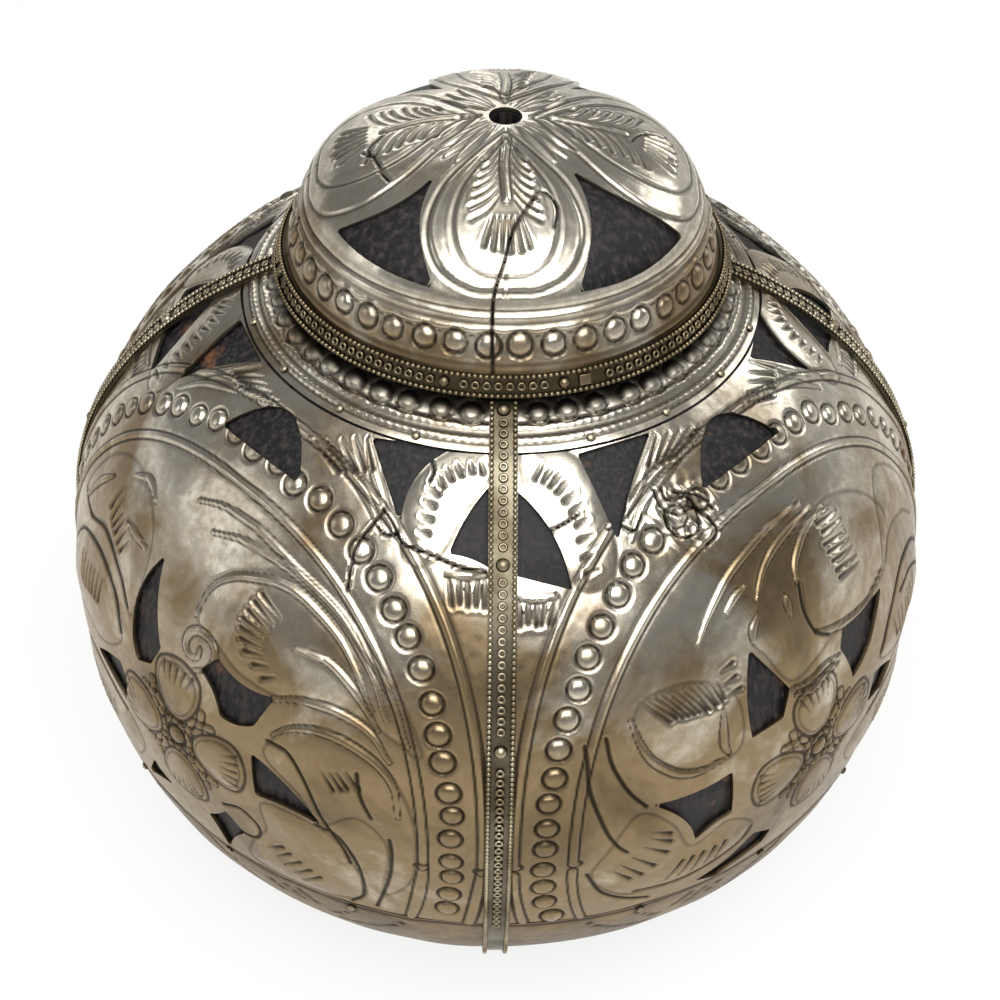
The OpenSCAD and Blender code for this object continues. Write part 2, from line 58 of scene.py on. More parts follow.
def addCamera(setup):
    e = math.radians(setup["elevation"])
    t = math.radians(setup["turn"])
    away = np.array([math.cos(e) * math.sin(t), -math.cos(e) * math.cos(t), math.sin(e)])
    target = np.array([0, 0, setup["targetHeight"]])
    place = target + away * setup["distance"]
    forward = -away
    right = np.array([math.cos(t), math.sin(t), 0.0])
    up = np.cross(right, forward)
    acrossShare = (setup["middle"][0] - 0.5) / setup["focal"]
    downShare = (setup["middle"][1] - 0.5) / setup["focal"]
    toTarget = np.array([acrossShare, -downShare, 1.0])
    toTarget /= np.linalg.norm(toTarget)
    pitch = math.atan2(-toTarget[1], toTarget[2])
    level = math.cos(pitch) * forward + math.sin(pitch) * up
    upright = np.cross(right, level)
    yaw = -math.atan2(toTarget[0], math.hypot(toTarget[1], toTarget[2]))
    aim = math.cos(yaw) * level + math.sin(yaw) * right
    side = math.cos(yaw) * right - math.sin(yaw) * level
    roll = math.radians(setup["roll"])
    sideRolled = math.cos(roll) * side + math.sin(roll) * upright
    upRolled = -math.sin(roll) * side + math.cos(roll) * upright
    data = bpy.data.cameras.new("camera")
    data.sensor_width = setup["sensor"]
    data.lens = setup["focal"] * setup["sensor"]
    data.clip_start = setup["nearest"]
    camera = bpy.data.objects.new("camera", data)
    bpy.context.scene.collection.objects.link(camera)
    columns = (sideRolled, upRolled, -aim, place * mm)
    camera.matrix_world = Matrix([[columns[c][r] for c in range(4)] for r in range(3)] + [[0, 0, 0, 1]])
    bpy.context.scene.camera = camera


addCamera(cameraSetup)
print("camera placed")


# colours are written as sRGB hex and turned to linear here
def hexColour(code):
    parts = [int(code[i:i + 2], 16) / 255 for i in (1, 3, 5)]
    return tuple(c / 12.92 if c <= 0.04045 else ((c + 0.055) / 1.055) ** 2.4 for c in parts) + (1.0,)


def startMaterial(name):
    material = bpy.data.materials.new(name)
    material.use_nodes = True
    material.node_tree.nodes.clear()
    return material


def addNode(material, kind, settings=None, links=None):
    node = material.node_tree.nodes.new(kind)
    for key, value in (settings or {}).items():
        if isinstance(key, int) or key in node.inputs:
            node.inputs[key].default_value = value
        else:
            setattr(node, key, value)
    for key, source in (links or {}).items():
        material.node_tree.links.new(source, node.inputs[key])
    return node


def addRamp(material, source, stops):
    ramp = addNode(material, "ShaderNodeValToRGB", None, {"Fac": source})
    while len(ramp.color_ramp.elements) < len(stops):
        ramp.color_ramp.elements.new(0.5)
    for element, (place, colour) in zip(ramp.color_ramp.elements, stops):
        element.position = place
        element.color = colour
    return ramp.outputs["Color"]


def grey(value):
    return (value, value, value, 1.0)


def addMix(material, share, first, second, blend="MIX"):
    mix = addNode(material, "ShaderNodeMix", {"data_type": "RGBA", "blend_type": blend})
    for socket, value in ((0, share), (6, first), (7, second)):
        if isinstance(value, (tuple, float, int)):
            mix.inputs[socket].default_value = value
        else:
            material.node_tree.links.new(value, mix.inputs[socket])
    return mix.outputs[2]


sheetFinish = {
    "polished": "#CFC9BC",
    "worn": "#A39A84",
    "film": "#7C6747",  # thin yellow-brown tarnish, also laid on thicker low down as painted dark reflection
    # the thickest film; low on the jar it also stands for painted dark reflection
    "deepFilm": "#4A3E2C",
    "grimeAndShade": "#16120D",  # what sits in the chased lines, and painted shade under the lid's edge on the collar
    "cloudSize": 17.0,  # mm across a tarnish cloud
    "speckSize": 1.3,
    "dentSize": 6.5,  # mm across one mark of the planishing hammer
    "scratchPitch": 0.35,
    "darkeningTop": 98.0,  # mm over the stand; below this the film thickens as painted dark reflection of the surroundings below
    "darkeningFull": 52.0,
    "darkeningMost": 0.24,
    "filmShare": 0.9,
    "roughness": (0.15, 0.3),  # rubbed and worn places
    "filmRoughness": 0.1,  # what the film and the grime add
    "grimeRoughness": 0.3,
    "dentDepth": 0.5,
    "scratchDepth": 0.05,
}
bowlFinish = {**sheetFinish, "darkeningMost": 0.38, "filmShare": 1.0, "roughness": (0.21, 0.36)}  # rougher, with more film and more painted dark reflection low down
lidFinish = {**sheetFinish, "darkeningTop": 108.0, "darkeningFull": 94.0}  # the wall is browner than the petals


# Nickel silver sheet, beaten thin and chased from both sides, then rubbed bright: the high points shine, a
# yellow-brown film stays on the flats, and grime stays in the lines.
# The film is painted on thicker low down as a dark reflection, and the grime colour also paints shade under
# the lid's edge.
def makeSheetMetal(name, look):
    material = startMaterial(name)
    place = addNode(material, "ShaderNodeTexCoord").outputs["Object"]
    grimeAndShade = addNode(material, "ShaderNodeAttribute", {"attribute_name": "grimeAndShade"}).outputs["Fac"]
    clouds = addNode(material, "ShaderNodeTexNoise",
                     {"Scale": 1 / (look["cloudSize"] * mm), "Detail": 5.0, "Roughness": 0.6,
                      "Distortion": 0.6}, {"Vector": place})
    specks = addNode(material, "ShaderNodeTexNoise",
                     {"Scale": 1 / (look["speckSize"] * mm), "Detail": 5.0, "Roughness": 0.7},
                     {"Vector": place})
    height = addNode(material, "ShaderNodeSeparateXYZ", None, {"Vector": place}).outputs["Z"]
    # the part of the film that grows towards the bottom is painted dark reflection
    low = addNode(material, "ShaderNodeMapRange",
                  {"From Min": look["darkeningTop"] * mm, "From Max": look["darkeningFull"] * mm,
                   "To Min": -0.1, "To Max": look["darkeningMost"]},
                  {"Value": height})
    filmAndDarkening = addNode(material, "ShaderNodeMath", {"operation": "ADD"},
                    {0: clouds.outputs["Fac"], 1: low.outputs[0]})
    # film shares: random tarnish clouds plus the painted dark reflection low down
    cloudShare = addRamp(material, filmAndDarkening.outputs[0],
                         [(0.4, grey(0.0)), (0.5, grey(0.35)), (0.64, grey(1.0))])
    deepShare = addRamp(material, filmAndDarkening.outputs[0], [(0.72, grey(0.0)), (0.92, grey(0.7))])
    speckShare = addRamp(material, specks.outputs["Fac"], [(0.38, grey(0.0)), (0.7, grey(0.75))])
    base = addMix(material, speckShare, hexColour(look["polished"]), hexColour(look["worn"]))
    filmed = addNode(material, "ShaderNodeMath", {"operation": "MULTIPLY", 1: look["filmShare"]},
                     {0: cloudShare})
    base = addMix(material, filmed.outputs[0], base, hexColour(look["film"]))
    base = addMix(material, deepShare, base, hexColour(look["deepFilm"]))
    # the grime colour, also painted shade where the collar lies under the lid's edge
    grimeAndShadeShare = addRamp(material, grimeAndShade, [(0.06, grey(0.0)), (0.45, grey(0.75)), (0.9, grey(1.0))])
    base = addMix(material, grimeAndShadeShare, base, hexColour(look["grimeAndShade"]))
    smooth, dull = look["roughness"]
    rough = addNode(material, "ShaderNodeMapRange",
                    {"From Min": 0.3, "From Max": 0.7, "To Min": smooth, "To Max": dull},
                    {"Value": specks.outputs["Fac"]})
    for share, added in ((cloudShare, look["filmRoughness"]), (grimeAndShadeShare, look["grimeRoughness"])):
        rough = addNode(material, "ShaderNodeMath", {"operation": "MULTIPLY_ADD", 1: added},
                        {0: share, 2: rough.outputs[0]})
    dents = addNode(material, "ShaderNodeTexNoise",
                    {"Scale": 1 / (look["dentSize"] * mm), "Detail": 2.0}, {"Vector": place})
    stretched = addNode(material, "ShaderNodeMapping",
                        {"Scale": (1.0, 1.0, 0.15), "Rotation": (0.5, 0.7, 0.0)}, {"Vector": place})
    scratches = addNode(material, "ShaderNodeTexNoise",
                        {"Scale": 1 / (look["scratchPitch"] * mm), "Detail": 3.0},
                        {"Vector": stretched.outputs[0]})
    beaten = addNode(material, "ShaderNodeBump", {"Strength": 0.6, "Distance": look["dentDepth"] * mm},
                     {"Height": dents.outputs["Fac"]})
    rubbed = addNode(material, "ShaderNodeBump", {"Strength": 0.14, "Distance": look["scratchDepth"] * mm},
                     {"Height": scratches.outputs["Fac"], "Normal": beaten.outputs[0]})
    shader = addNode(material, "ShaderNodeBsdfPrincipled", {"Metallic": 1.0},
                     {"Base Color": base, "Roughness": rough.outputs[0], "Normal": rubbed.outputs[0]})
    addNode(material, "ShaderNodeOutputMaterial", None, {"Surface": shader.outputs[0]})
    return material


wireFinish = {
    "rubbed": "#A59C86",
    "film": "#6B5F48",
    "grimeAndShade": "#1A160F",
    "cloudSize": 7.0,
    "roughness": (0.3, 0.48),  # rubbed and filmed places
}
lidWireFinish = {**wireFinish, "rubbed": "#83775E", "film": "#4E4430"}  # the lid's edge is browner, and painted darker as shade


# Drawn and beaded white-metal wire: bright on the crowns, brown film low between the beads
def makeWireMetal(name, look):
    material = startMaterial(name)
    place = addNode(material, "ShaderNodeTexCoord").outputs["Object"]
    grimeAndShade = addNode(material, "ShaderNodeAttribute", {"attribute_name": "grimeAndShade"}).outputs["Fac"]
    clouds = addNode(material, "ShaderNodeTexNoise",
                     {"Scale": 1 / (look["cloudSize"] * mm), "Detail": 4.0, "Roughness": 0.6},
                     {"Vector": place})
    cloudShare = addRamp(material, clouds.outputs["Fac"], [(0.38, grey(0.0)), (0.62, grey(0.85))])
    base = addMix(material, cloudShare, hexColour(look["rubbed"]), hexColour(look["film"]))
    grimeAndShadeShare = addRamp(material, grimeAndShade, [(0.1, grey(0.0)), (0.9, grey(1.0))])
    base = addMix(material, grimeAndShadeShare, base, hexColour(look["grimeAndShade"]))
    smooth, dull = look["roughness"]
    rough = addNode(material, "ShaderNodeMapRange", {"To Min": smooth, "To Max": dull},
                    {"Value": cloudShare})
    shader = addNode(material, "ShaderNodeBsdfPrincipled", {"Metallic": 1.0},
                     {"Base Color": base, "Roughness": rough.outputs[0]})
    addNode(material, "ShaderNodeOutputMaterial", None, {"Surface": shader.outputs[0]})
    return material


woodFinish = {
    "stain": "#0B0A0D",
    "worn": "#39322F",
    "bare": "#7A4F33",  # reddish wood where the stain has gone
    "grainPitch": 0.8,
    "grainDepth": 0.16,
    "bareSize": 14.0,
    "bareStart": 0.6,  # the higher, the fewer bare spots
    "roughness": (0.5, 0.7),
    "ior": 1.45,
    "shine": 0.3,
}
lidWoodFinish = {**woodFinish, "bareStart": 0.66}


# Turned hardwood under a near-black stain: fine upright grain, satin, a few rubbed reddish spots
def makeStainedWood(name, look):
    material = startMaterial(name)
    place = addNode(material, "ShaderNodeTexCoord").outputs["Object"]
    alongGrain = addNode(material, "ShaderNodeMapping", {"Scale": (1.0, 1.0, 0.09)}, {"Vector": place})
    grain = addNode(material, "ShaderNodeTexNoise",
                    {"Scale": 1 / (look["grainPitch"] * mm), "Detail": 6.0, "Roughness": 0.65},
                    {"Vector": alongGrain.outputs[0]})
    patches = addNode(material, "ShaderNodeTexNoise",
                      {"Scale": 1 / (look["bareSize"] * mm), "Detail": 5.0, "Roughness": 0.7},
                      {"Vector": place})
    grainShare = addRamp(material, grain.outputs["Fac"], [(0.47, grey(0.0)), (0.72, grey(1.0))])
    bareShare = addRamp(material, patches.outputs["Fac"],
                        [(look["bareStart"], grey(0.0)), (look["bareStart"] + 0.1, grey(0.8))])
    base = addMix(material, grainShare, hexColour(look["stain"]), hexColour(look["worn"]))
    base = addMix(material, bareShare, base, hexColour(look["bare"]))
    smooth, dull = look["roughness"]
    rough = addNode(material, "ShaderNodeMapRange", {"To Min": smooth, "To Max": dull},
                    {"Value": grainShare})
    bump = addNode(material, "ShaderNodeBump", {"Strength": 0.8, "Distance": look["grainDepth"] * mm},
                   {"Height": grain.outputs["Fac"]})
    shader = addNode(material, "ShaderNodeBsdfPrincipled",
                     {"IOR": look["ior"], "Specular IOR Level": look["shine"]},
                     {"Base Color": base, "Roughness": rough.outputs[0], "Normal": bump.outputs[0]})
    addNode(material, "ShaderNodeOutputMaterial", None, {"Surface": shader.outputs[0]})
    return material


panelMetal = makeSheetMetal("chasedNickelSilver", sheetFinish)
lidMetal = makeSheetMetal("chasedLidSilver", lidFinish)
bowlMetal = makeSheetMetal("plainNickelSilver", bowlFinish)
wireMetal = makeWireMetal("beadedWire", wireFinish)
lidWireMetal = makeWireMetal("tarnishedAndShadedBeadedWire", lidWireFinish)
jarWood = makeStainedWood("stainedTurnedWood", woodFinish)
lidWood = makeStainedWood("stainedLidWood", lidWoodFinish)
print("materials made")


# the jar's outside curve, the same sizes as the solids, in millimetres
jarForm = {
    "radius": 65.0,
    "shoulderRise": 55.3,
    "footDrop": 45.2,
    "shoulderPower": 2.04,
    "footPower": 3.07,
    "standRadius": 24.0,
    "sheet": 0.6,
    "bowlEdge": -13.5,
    "collarRadius": 35.5,
    "seatRadius": 25.7,
    "seamGap": 0.3,
    "curveSteps": 4000,  # points for measuring along the curve
}
standShare = (jarForm["standRadius"] / jarForm["radius"]) ** jarForm["footPower"]
widestHeight = jarForm["footDrop"] * (1 - standShare) ** (1 / jarForm["footPower"])


def jarRadius(h):
    h = np.asarray(h, float)
    span = np.where(h >= 0, jarForm["shoulderRise"], jarForm["footDrop"])
    power = np.where(h >= 0, jarForm["shoulderPower"], jarForm["footPower"])
    return jarForm["radius"] * np.maximum(0, 1 - np.minimum(np.abs(h) / span, 1) ** power) ** (1 / power)


def shoulderHeight(r):
    share = (r / jarForm["radius"]) ** jarForm["shoulderPower"]
    return jarForm["shoulderRise"] * (1 - share) ** (1 / jarForm["shoulderPower"])


def footHeight(r):
    share = (r / jarForm["radius"]) ** jarForm["footPower"]
    return -jarForm["footDrop"] * (1 - share) ** (1 / jarForm["footPower"])


outwardStep = 0.5  # mm, for measuring which way a surface faces


# place on the jar at azimuth az (degrees from the front) and height h over the widest line
def jarPlace(az, h, off=0.0):
    a = np.radians(az)
    step = 0.02
    slope = (jarRadius(np.asarray(h) + step) - jarRadius(np.asarray(h) - step)) / (2 * step)
    lean = np.sqrt(1 + slope ** 2)
    r = jarRadius(h) + off / lean
    z = np.asarray(h) + widestHeight - off * slope / lean
    return np.stack([r * np.sin(a), -r * np.cos(a), z * np.ones_like(a)], -1)


# evenly spaced heights along the curve between two heights
def evenHeights(low, high, count):
    fine = np.linspace(low, high, jarForm["curveSteps"])
    steps = np.hypot(np.diff(jarRadius(fine)), np.diff(fine))
    run = np.concatenate([[0], np.cumsum(steps)])
    return np.interp(np.linspace(0, run[-1], count), run, fine)


# a smooth curve through a few points, the ends kept
def smoothLine(points, steps=8):
    p = np.array(points, float)
    if len(p) == 2:
        t = np.linspace(0, 1, steps + 1)[:, None]
        return p[0] * (1 - t) + p[1] * t
    ends = np.vstack([2 * p[0] - p[1], p, 2 * p[-1] - p[-2]])
    t = np.linspace(0, 1, steps, endpoint=False)[:, None]
    parts = []
    for i in range(1, len(ends) - 2):
        a, b, c, d = ends[i - 1:i + 3]
        parts.append(0.5 * (2 * b + (c - a) * t + (2 * a - 5 * b + 4 * c - d) * t ** 2
                            + (3 * b - a - 3 * c + d) * t ** 3))
    return np.vstack(parts + [p[-1:]])


def smoothLoop(points, steps=8):
    p = np.array(points, float)
    around = np.vstack([p[-1:], p, p[:2]])
    return smoothLine(around, steps)[steps:-steps - 1]


def circle(centre, radius, steps=24):
    a = np.radians(np.linspace(0, 360, steps))
    return np.stack([centre[0] + radius * np.cos(a), centre[1] + radius * np.sin(a)], -1)


# drawings are seen square on to a medallion (u across, v up) or from above a seam (u across, w up)
def medallionPlace(line):
    u, v = np.asarray(line, float).T
    r = jarRadius(v)
    return jarPlace(np.degrees(np.arcsin(np.clip(u / np.maximum(r, 1e-6), -1, 1))), v)


# how a seam's drawing is seen, and the heights that it can lie between
seamView = {"tilt": math.radians(45.0), "lowest": -12.0, "highest": 50.0, "rounds": 40}


def seamPlace(line, azimuth):
    u, w = np.asarray(line, float).T
    t = seamView["tilt"]
    low = np.full(len(u), seamView["lowest"])
    high = np.full(len(u), seamView["highest"])
    for _ in range(seamView["rounds"]):
        mid = (low + high) / 2
        depth = np.sqrt(np.maximum(jarRadius(mid) ** 2 - u ** 2, 0))
        over = mid * math.cos(t) - depth * math.sin(t) > w
        high = np.where(over, mid, high)
        low = np.where(over, low, mid)
    h = (low + high) / 2
    az = np.degrees(np.arcsin(np.clip(u / jarRadius(h), -1, 1)))
    return jarPlace(az + azimuth, h)


def toMedallion(points):
    return np.stack([points[:, 0], points[:, 2] - widestHeight], -1)


def toSeam(points, azimuth):
    a = math.radians(azimuth)
    t = seamView["tilt"]
    u = points[:, 0] * math.cos(a) + points[:, 1] * math.sin(a)
    depth = points[:, 0] * math.sin(a) - points[:, 1] * math.cos(a)
    return np.stack([u, (points[:, 2] - widestHeight) * math.cos(t) - depth * math.sin(t)], -1)


farAway = 1e9


# distance to a line, for the points near enough to matter
def nearLine(points, line, limit):
    low = line.min(0) - limit
    high = line.max(0) + limit
    near = np.flatnonzero(np.all((points > low) & (points < high), axis=1))
    best = np.full(len(near), farAway)
    along = np.zeros(len(near))
    p = points[near]
    for i in range(len(line) - 1):
        run = line[i + 1] - line[i]
        size = max(run @ run, 1e-12)
        t = np.clip((p - line[i]) @ run / size, 0, 1)
        d = np.linalg.norm(p - line[i] - t[:, None] * run, axis=1)
        closer = d < best
        best = np.where(closer, d, best)
        along = np.where(closer, (i + t) / (len(line) - 1), along)
    return near, best, along


def insideLoop(flat, loop):
    inside = np.zeros(len(flat), bool)
    x, y = flat.T
    for (x0, y0), (x1, y1) in zip(loop, np.roll(loop, -1, 0)):
        if y0 == y1:
            continue
        crosses = (y0 > y) != (y1 > y)
        inside ^= crosses & (x < (x1 - x0) * (y - y0) / (y1 - y0) + x0)
    return inside


# nearest point on a closed outline, in the drawing's own plane
def nearestOnLoop(flat, loop):
    best = np.full(len(flat), farAway)
    spot = np.zeros_like(flat)
    for a, b in zip(loop, np.roll(loop, -1, 0)):
        run = b - a
        t = np.clip((flat - a) @ run / max(run @ run, 1e-12), 0, 1)
        q = a + t[:, None] * run
        d = np.linalg.norm(flat - q, axis=1)
        closer = d < best
        best = np.where(closer, d, best)
        spot = np.where(closer[:, None], q, spot)
    return best, spot


# profiles of the tool marks, in shares of a line's width or a dot's radius; a bell is its middle and width
toolMarks = {
    "lineReach": 4,
    "taper": (0.5, 0.65),  # width of a tapered line at its ends, and what its middle adds
    "trench": 0.3,
    "trenchBell": (1.8, 0.5),
    "trenchGrime": (1.75, 0.45),
    "grooveLip": 0.35,
    "grooveLipBell": (1.9, 0.7),
    "grooveGrime": 1.1,
    "strokeReach": 2.5,
    "strokeLip": 0.3,
    "strokeLipBell": (1.8, 0.6),
    "strokeGrime": 1.2,
    "dotReach": 1.6,
    "dotDome": 0.92,
    "dotRoundness": 0.6,
    "dotLevel": (1.15, 0.35),  # where the relief round a dot is flattened, and over how much it comes back
    "dotRing": 0.26,  # mm
    "dotRingBell": (1.04, 0.15),
    "dotRingGrime": (1.03, 0.15),
    "lobeReach": 1.5,  # mm
    "lobeRoundness": 1.3,
    "outline": 0.28,  # mm
    "outlineDepth": 0.14,
}


def bell(x, middle, width):
    return np.exp(-((x - middle) / width) ** 2)


# a relief is worked out over bare surface points: how far each is pushed out, and its grime
class Relief:
    def __init__(self, points):
        self.points = points
        self.height = np.zeros(len(points))
        self.grimeAndShade = np.zeros(len(points))

    def darken(self, near, share):
        self.grimeAndShade[near] = np.maximum(self.grimeAndShade[near], share)

    # a raised line with a fine chased trench on both sides
    def ridge(self, line, width, rise, dark, tapered=False):
        near, d, along = nearLine(self.points, line, width * toolMarks["lineReach"])
        size = np.full(len(near), float(width))
        if tapered:
            least, more = toolMarks["taper"]
            size = size * (least + more * np.sin(np.pi * np.clip(along, 0.05, 0.95)))
        x = d / size
        trench = toolMarks["trench"] * bell(x, *toolMarks["trenchBell"])
        self.height[near] += rise * (np.exp(-x ** 2) - trench)
        self.darken(near, dark * bell(x, *toolMarks["trenchGrime"]))

    # a line struck into the sheet, its lips a little raised
    def groove(self, line, width, depth, dark):
        near, d, _ = nearLine(self.points, line, width * toolMarks["lineReach"])
        x = d / width
        lip = toolMarks["grooveLip"] * bell(x, *toolMarks["grooveLipBell"])
        self.height[near] += depth * (lip - np.exp(-x ** 2))
        self.darken(near, dark * np.exp(-(x * toolMarks["grooveGrime"]) ** 2))

    # one blow of a tracing chisel: a drop that starts fine and ends wide and deep
    def stroke(self, line, width, depth, dark):
        near, d, along = nearLine(self.points, line, width * toolMarks["strokeReach"])
        x = d / (width * (0.45 + 0.55 * along))
        lip = toolMarks["strokeLip"] * bell(x, *toolMarks["strokeLipBell"])
        self.height[near] += depth * (lip - (0.5 + 0.5 * along) * np.exp(-x ** 2))
        self.darken(near, dark * (0.4 + 0.6 * along) * np.exp(-(x * toolMarks["strokeGrime"]) ** 2))

    # a domed punch dot with a sharp ring round it
    def dot(self, centre, radius, rise, dark=0.72):
        offset = np.abs(self.points - centre)
        near = np.flatnonzero(np.all(offset < radius * toolMarks["dotReach"], axis=1))
        x = np.linalg.norm(self.points[near] - centre, axis=1) / radius
        dome = np.maximum(1 - (x / toolMarks["dotDome"]) ** 2, 0) ** toolMarks["dotRoundness"]
        start, span = toolMarks["dotLevel"]
        level = np.clip((x - start) / span, 0, 1)
        ring = toolMarks["dotRing"] * bell(x, *toolMarks["dotRingBell"])
        self.height[near] = self.height[near] * level + rise * dome - ring
        self.grimeAndShade[near] *= level
        self.darken(near, dark * bell(x, *toolMarks["dotRingGrime"]))

    # a lobe pushed out from behind, with a chased outline
    def lobe(self, flat, loop, rise, shoulder, dark):
        inside = insideLoop(flat, loop)
        low = loop.min(0) - toolMarks["lobeReach"]
        high = loop.max(0) + toolMarks["lobeReach"]
        near = np.flatnonzero(np.all((flat > low) & (flat < high), axis=1))
        d, _ = nearestOnLoop(flat[near], loop)
        push = rise * (1 - np.exp(-(d / shoulder) ** toolMarks["lobeRoundness"]))
        outline = np.exp(-(d / toolMarks["outline"]) ** 2)
        self.height[near] += np.where(inside[near], push, 0) - toolMarks["outlineDepth"] * dark * outline
        self.darken(near, dark * outline)


# hand-beaten unevenness: slow random waves with a fixed seed
def beatenWaves(points, amount, size, seed, count=36, spread=(0.6, 1.8)):
    random = np.random.default_rng(seed)
    total = np.zeros(len(points))
    for _ in range(count):
        direction = random.normal(size=3)
        direction /= np.linalg.norm(direction)
        wavelength = size * random.uniform(*spread)
        total += np.sin(points @ direction * 2 * np.pi / wavelength + random.uniform(0, 2 * np.pi))
    return amount * total / math.sqrt(count)


# rows of short struck lines between two guide lines
def strokesBetween(startLine, endLine, count):
    a = smoothLine(startLine, 12)
    b = smoothLine(endLine, 12)
    picks = np.linspace(0, 1, count)
    starts = np.stack([np.interp(picks, np.linspace(0, 1, len(a)), a[:, k]) for k in (0, 1)], -1)
    ends = np.stack([np.interp(picks, np.linspace(0, 1, len(b)), b[:, k]) for k in (0, 1)], -1)
    return [np.array([s, e]) for s, e in zip(starts, ends)]


def bowed(corners, steps=10):
    loop = []
    for (x0, y0, bow), (x1, y1, _) in zip(corners, corners[1:] + corners[:1]):
        count = steps if bow else 1
        for k in range(count):
            t = k / count
            out = bow * 4 * t * (1 - t)
            loop.append((x0 + (x1 - x0) * t + (y1 - y0) * out, y0 + (y1 - y0) * t - (x1 - x0) * out))
    return np.array(loop)


# a design is its openings, the flower's middle and turn, the lobes pushed out from behind, the raised and
# struck lines, and the combs of short strokes between two guide lines; this one stands at the front left
# and again at the back right
leafAndScroll = {
    "openings": [
        [(-5.4, 28.4, 0.14), (-7.3, 15.5, 0.05), (-5.5, 13.2, 0), (-2.5, 14.7, 0), (-1.1, 18.1, -0.06)],
        [(6.4, 19.5, -0.1), (11, 15, 0.1), (16.1, 16.3, 0), (17.9, 21.3, -0.1), (8.6, 22.4, 0)],
        [(16.4, 12, 0), (17.5, 4.9, -0.08), (26.8, 4.1, 0.1)],
        [(-10, 9.3, 0.05), (-18.6, 4, -0.05), (-9, 2.4, 0), (-7.8, 7, 0)],
        [(-3.9, -5.9, 0), (-7.5, -13, -0.08), (2.5, -7.3, -0.15)],
        [(11.8, -3, -0.05), (7.9, -7.3, -0.08), (10.7, -14.4, -0.08), (14.6, -6.2, 0)],
    ],
    "flower": (3.6, 6.6),
    "turn": 4,
    "lobes": [
        [(4.2, 24.6), (3.4, 28.2), (6.2, 31.6), (11, 33.6), (17, 33.4), (24, 31), (31, 26), (36, 19),
         (31, 21.3), (25, 23), (19, 21.6), (12.5, 22), (8.2, 23.6)],
        [(18.6, 15), (21, 18.4), (25, 19.4), (30, 18.4), (34.6, 14.4), (37.6, 7), (37.4, -3), (34, -8),
         (34.8, 3), (31, 7.6), (26.8, 4.6), (23.5, 8.8), (18.5, 12.4)],
        [(18.4, 3.8), (24, 4.2), (28.4, 2), (31, -4), (31.6, -10), (27, -12.6), (20, -12.8), (15, -11.4),
         (16.4, -6), (18.6, -2)],
        [(-8.4, 27), (-12, 31), (-19, 32), (-26, 28.5), (-31, 21), (-26, 20.6), (-20, 23),
         (-13, 21.4), (-8.6, 18)],
        [(-10, 14), (-13.5, 18.6), (-20, 20), (-28, 17), (-34, 9), (-36, -1), (-30, 3.4),
         (-23, 6.6), (-17, 7.6), (-12, 10.6)],
        [(-9.4, 0.6), (-15, 2), (-22, 1.8), (-29, -3), (-33, -10), (-25, -12.4), (-15, -12.4),
         (-9.6, -10.6), (-6, -4)],
    ],
    "ridges": [
        [(-4.2, 35.4), (0, 36.5), (6, 36.6), (13, 35.2), (20.5, 32.9), (26.8, 29), (31.1, 24.8),
         (34.3, 20)],
        [(0.2, 33.9), (4.9, 35), (10.5, 35), (15.5, 34.2), (21.8, 31.9), (27.4, 27.7), (31.1, 22.8)],
        [(3.2, 25.4), (3.9, 29.2), (6.1, 31.4), (9.3, 32.6), (13, 33.2), (16.8, 32.6), (21.8, 30.6),
         (25.5, 27.8), (29.3, 23.4)],
        [(18.1, 27.8), (21.8, 27.8), (24.9, 26.5), (28, 24.1), (30.6, 21.4)],
        [(5.5, 18.9), (7.4, 20.1), (8.1, 22), (7.1, 23.6), (4.9, 24), (3.3, 23.1), (3, 21.4),
         (4, 20.4), (5.4, 20.7), (5.5, 22)],
        [(17.6, 21), (21.1, 22.2), (25.5, 22.3), (29.9, 20.8), (33, 17.6)],
        [(18.9, 16.4), (21.1, 18.3), (24.3, 19.2), (28, 18.8), (31.8, 17), (34.3, 14), (35.5, 9.5)],
        [(-14.8, 27.4), (-12, 27.1), (-9.5, 27)],
        [(-18, 31), (-14.6, 32.4), (-11.4, 31.6)],
        [(-22.6, 28), (-26, 25), (-29.6, 20.4)],
    ],
    "grooves": [
        [(18.3, 15.1), (21.1, 15), (23, 13.2), (24.9, 10.1), (27.4, 4.5), (29.3, 0.8), (30.2, -2.4)],
        [(34.9, 5.1), (35.2, 2), (34.9, -3), (33.9, -8), (32.8, -12.2)],
        [(26, 4), (29, 2.6), (31.2, -3), (31.4, -9.6), (29.6, -12.6)],
        [(11.6, -1.6), (14.8, -0.2), (17.4, -2.4), (16.8, -5.4), (14.2, -5.8), (12.4, -4)],
        [(-9.8, 18.4), (-13.6, 21), (-20, 22.6), (-26, 20.4), (-31, 20.6)],
        [(-10.4, 14), (-13.5, 18), (-20, 19.6), (-28, 16.8), (-33.6, 9.4), (-36, 0)],
        [(-9.4, 0.2), (-15, 1.6), (-22, 1.4), (-29, -3), (-33, -10)],
        [(-34, 22), (-37, 15), (-38.4, 6), (-37.6, -3), (-35, -10.6)],
        [(30, 15.2), (31, 11.8), (32.6, 8.4)],
    ],
    "combs": [
        ([(14.8, 30), (13.6, 28), (14.2, 26.2), (17.2, 23.8)],
         [(10.9, 31.5), (10, 28.6), (11, 25.8), (15.3, 22.9)], 9),
        ([(26, 13.9), (28.6, 15.3)], [(27.8, 11.8), (30.4, 12.9)], 4),
        ([(18.6, -6), (23.4, -10.6)], [(21, -4), (26, -8)], 5),
        ([(-13, 25.8), (-19, 28.8)], [(-15, 23), (-20.4, 25.6)], 6),
        ([(-17, 17.6), (-26, 15.2)], [(-17.6, 13.6), (-25, 11.4)], 7),
        ([(-14, -2.4), (-24, -3.6)], [(-14.6, -6.4), (-22.6, -7.6)], 7),
    ],
    "seed": 11,
}

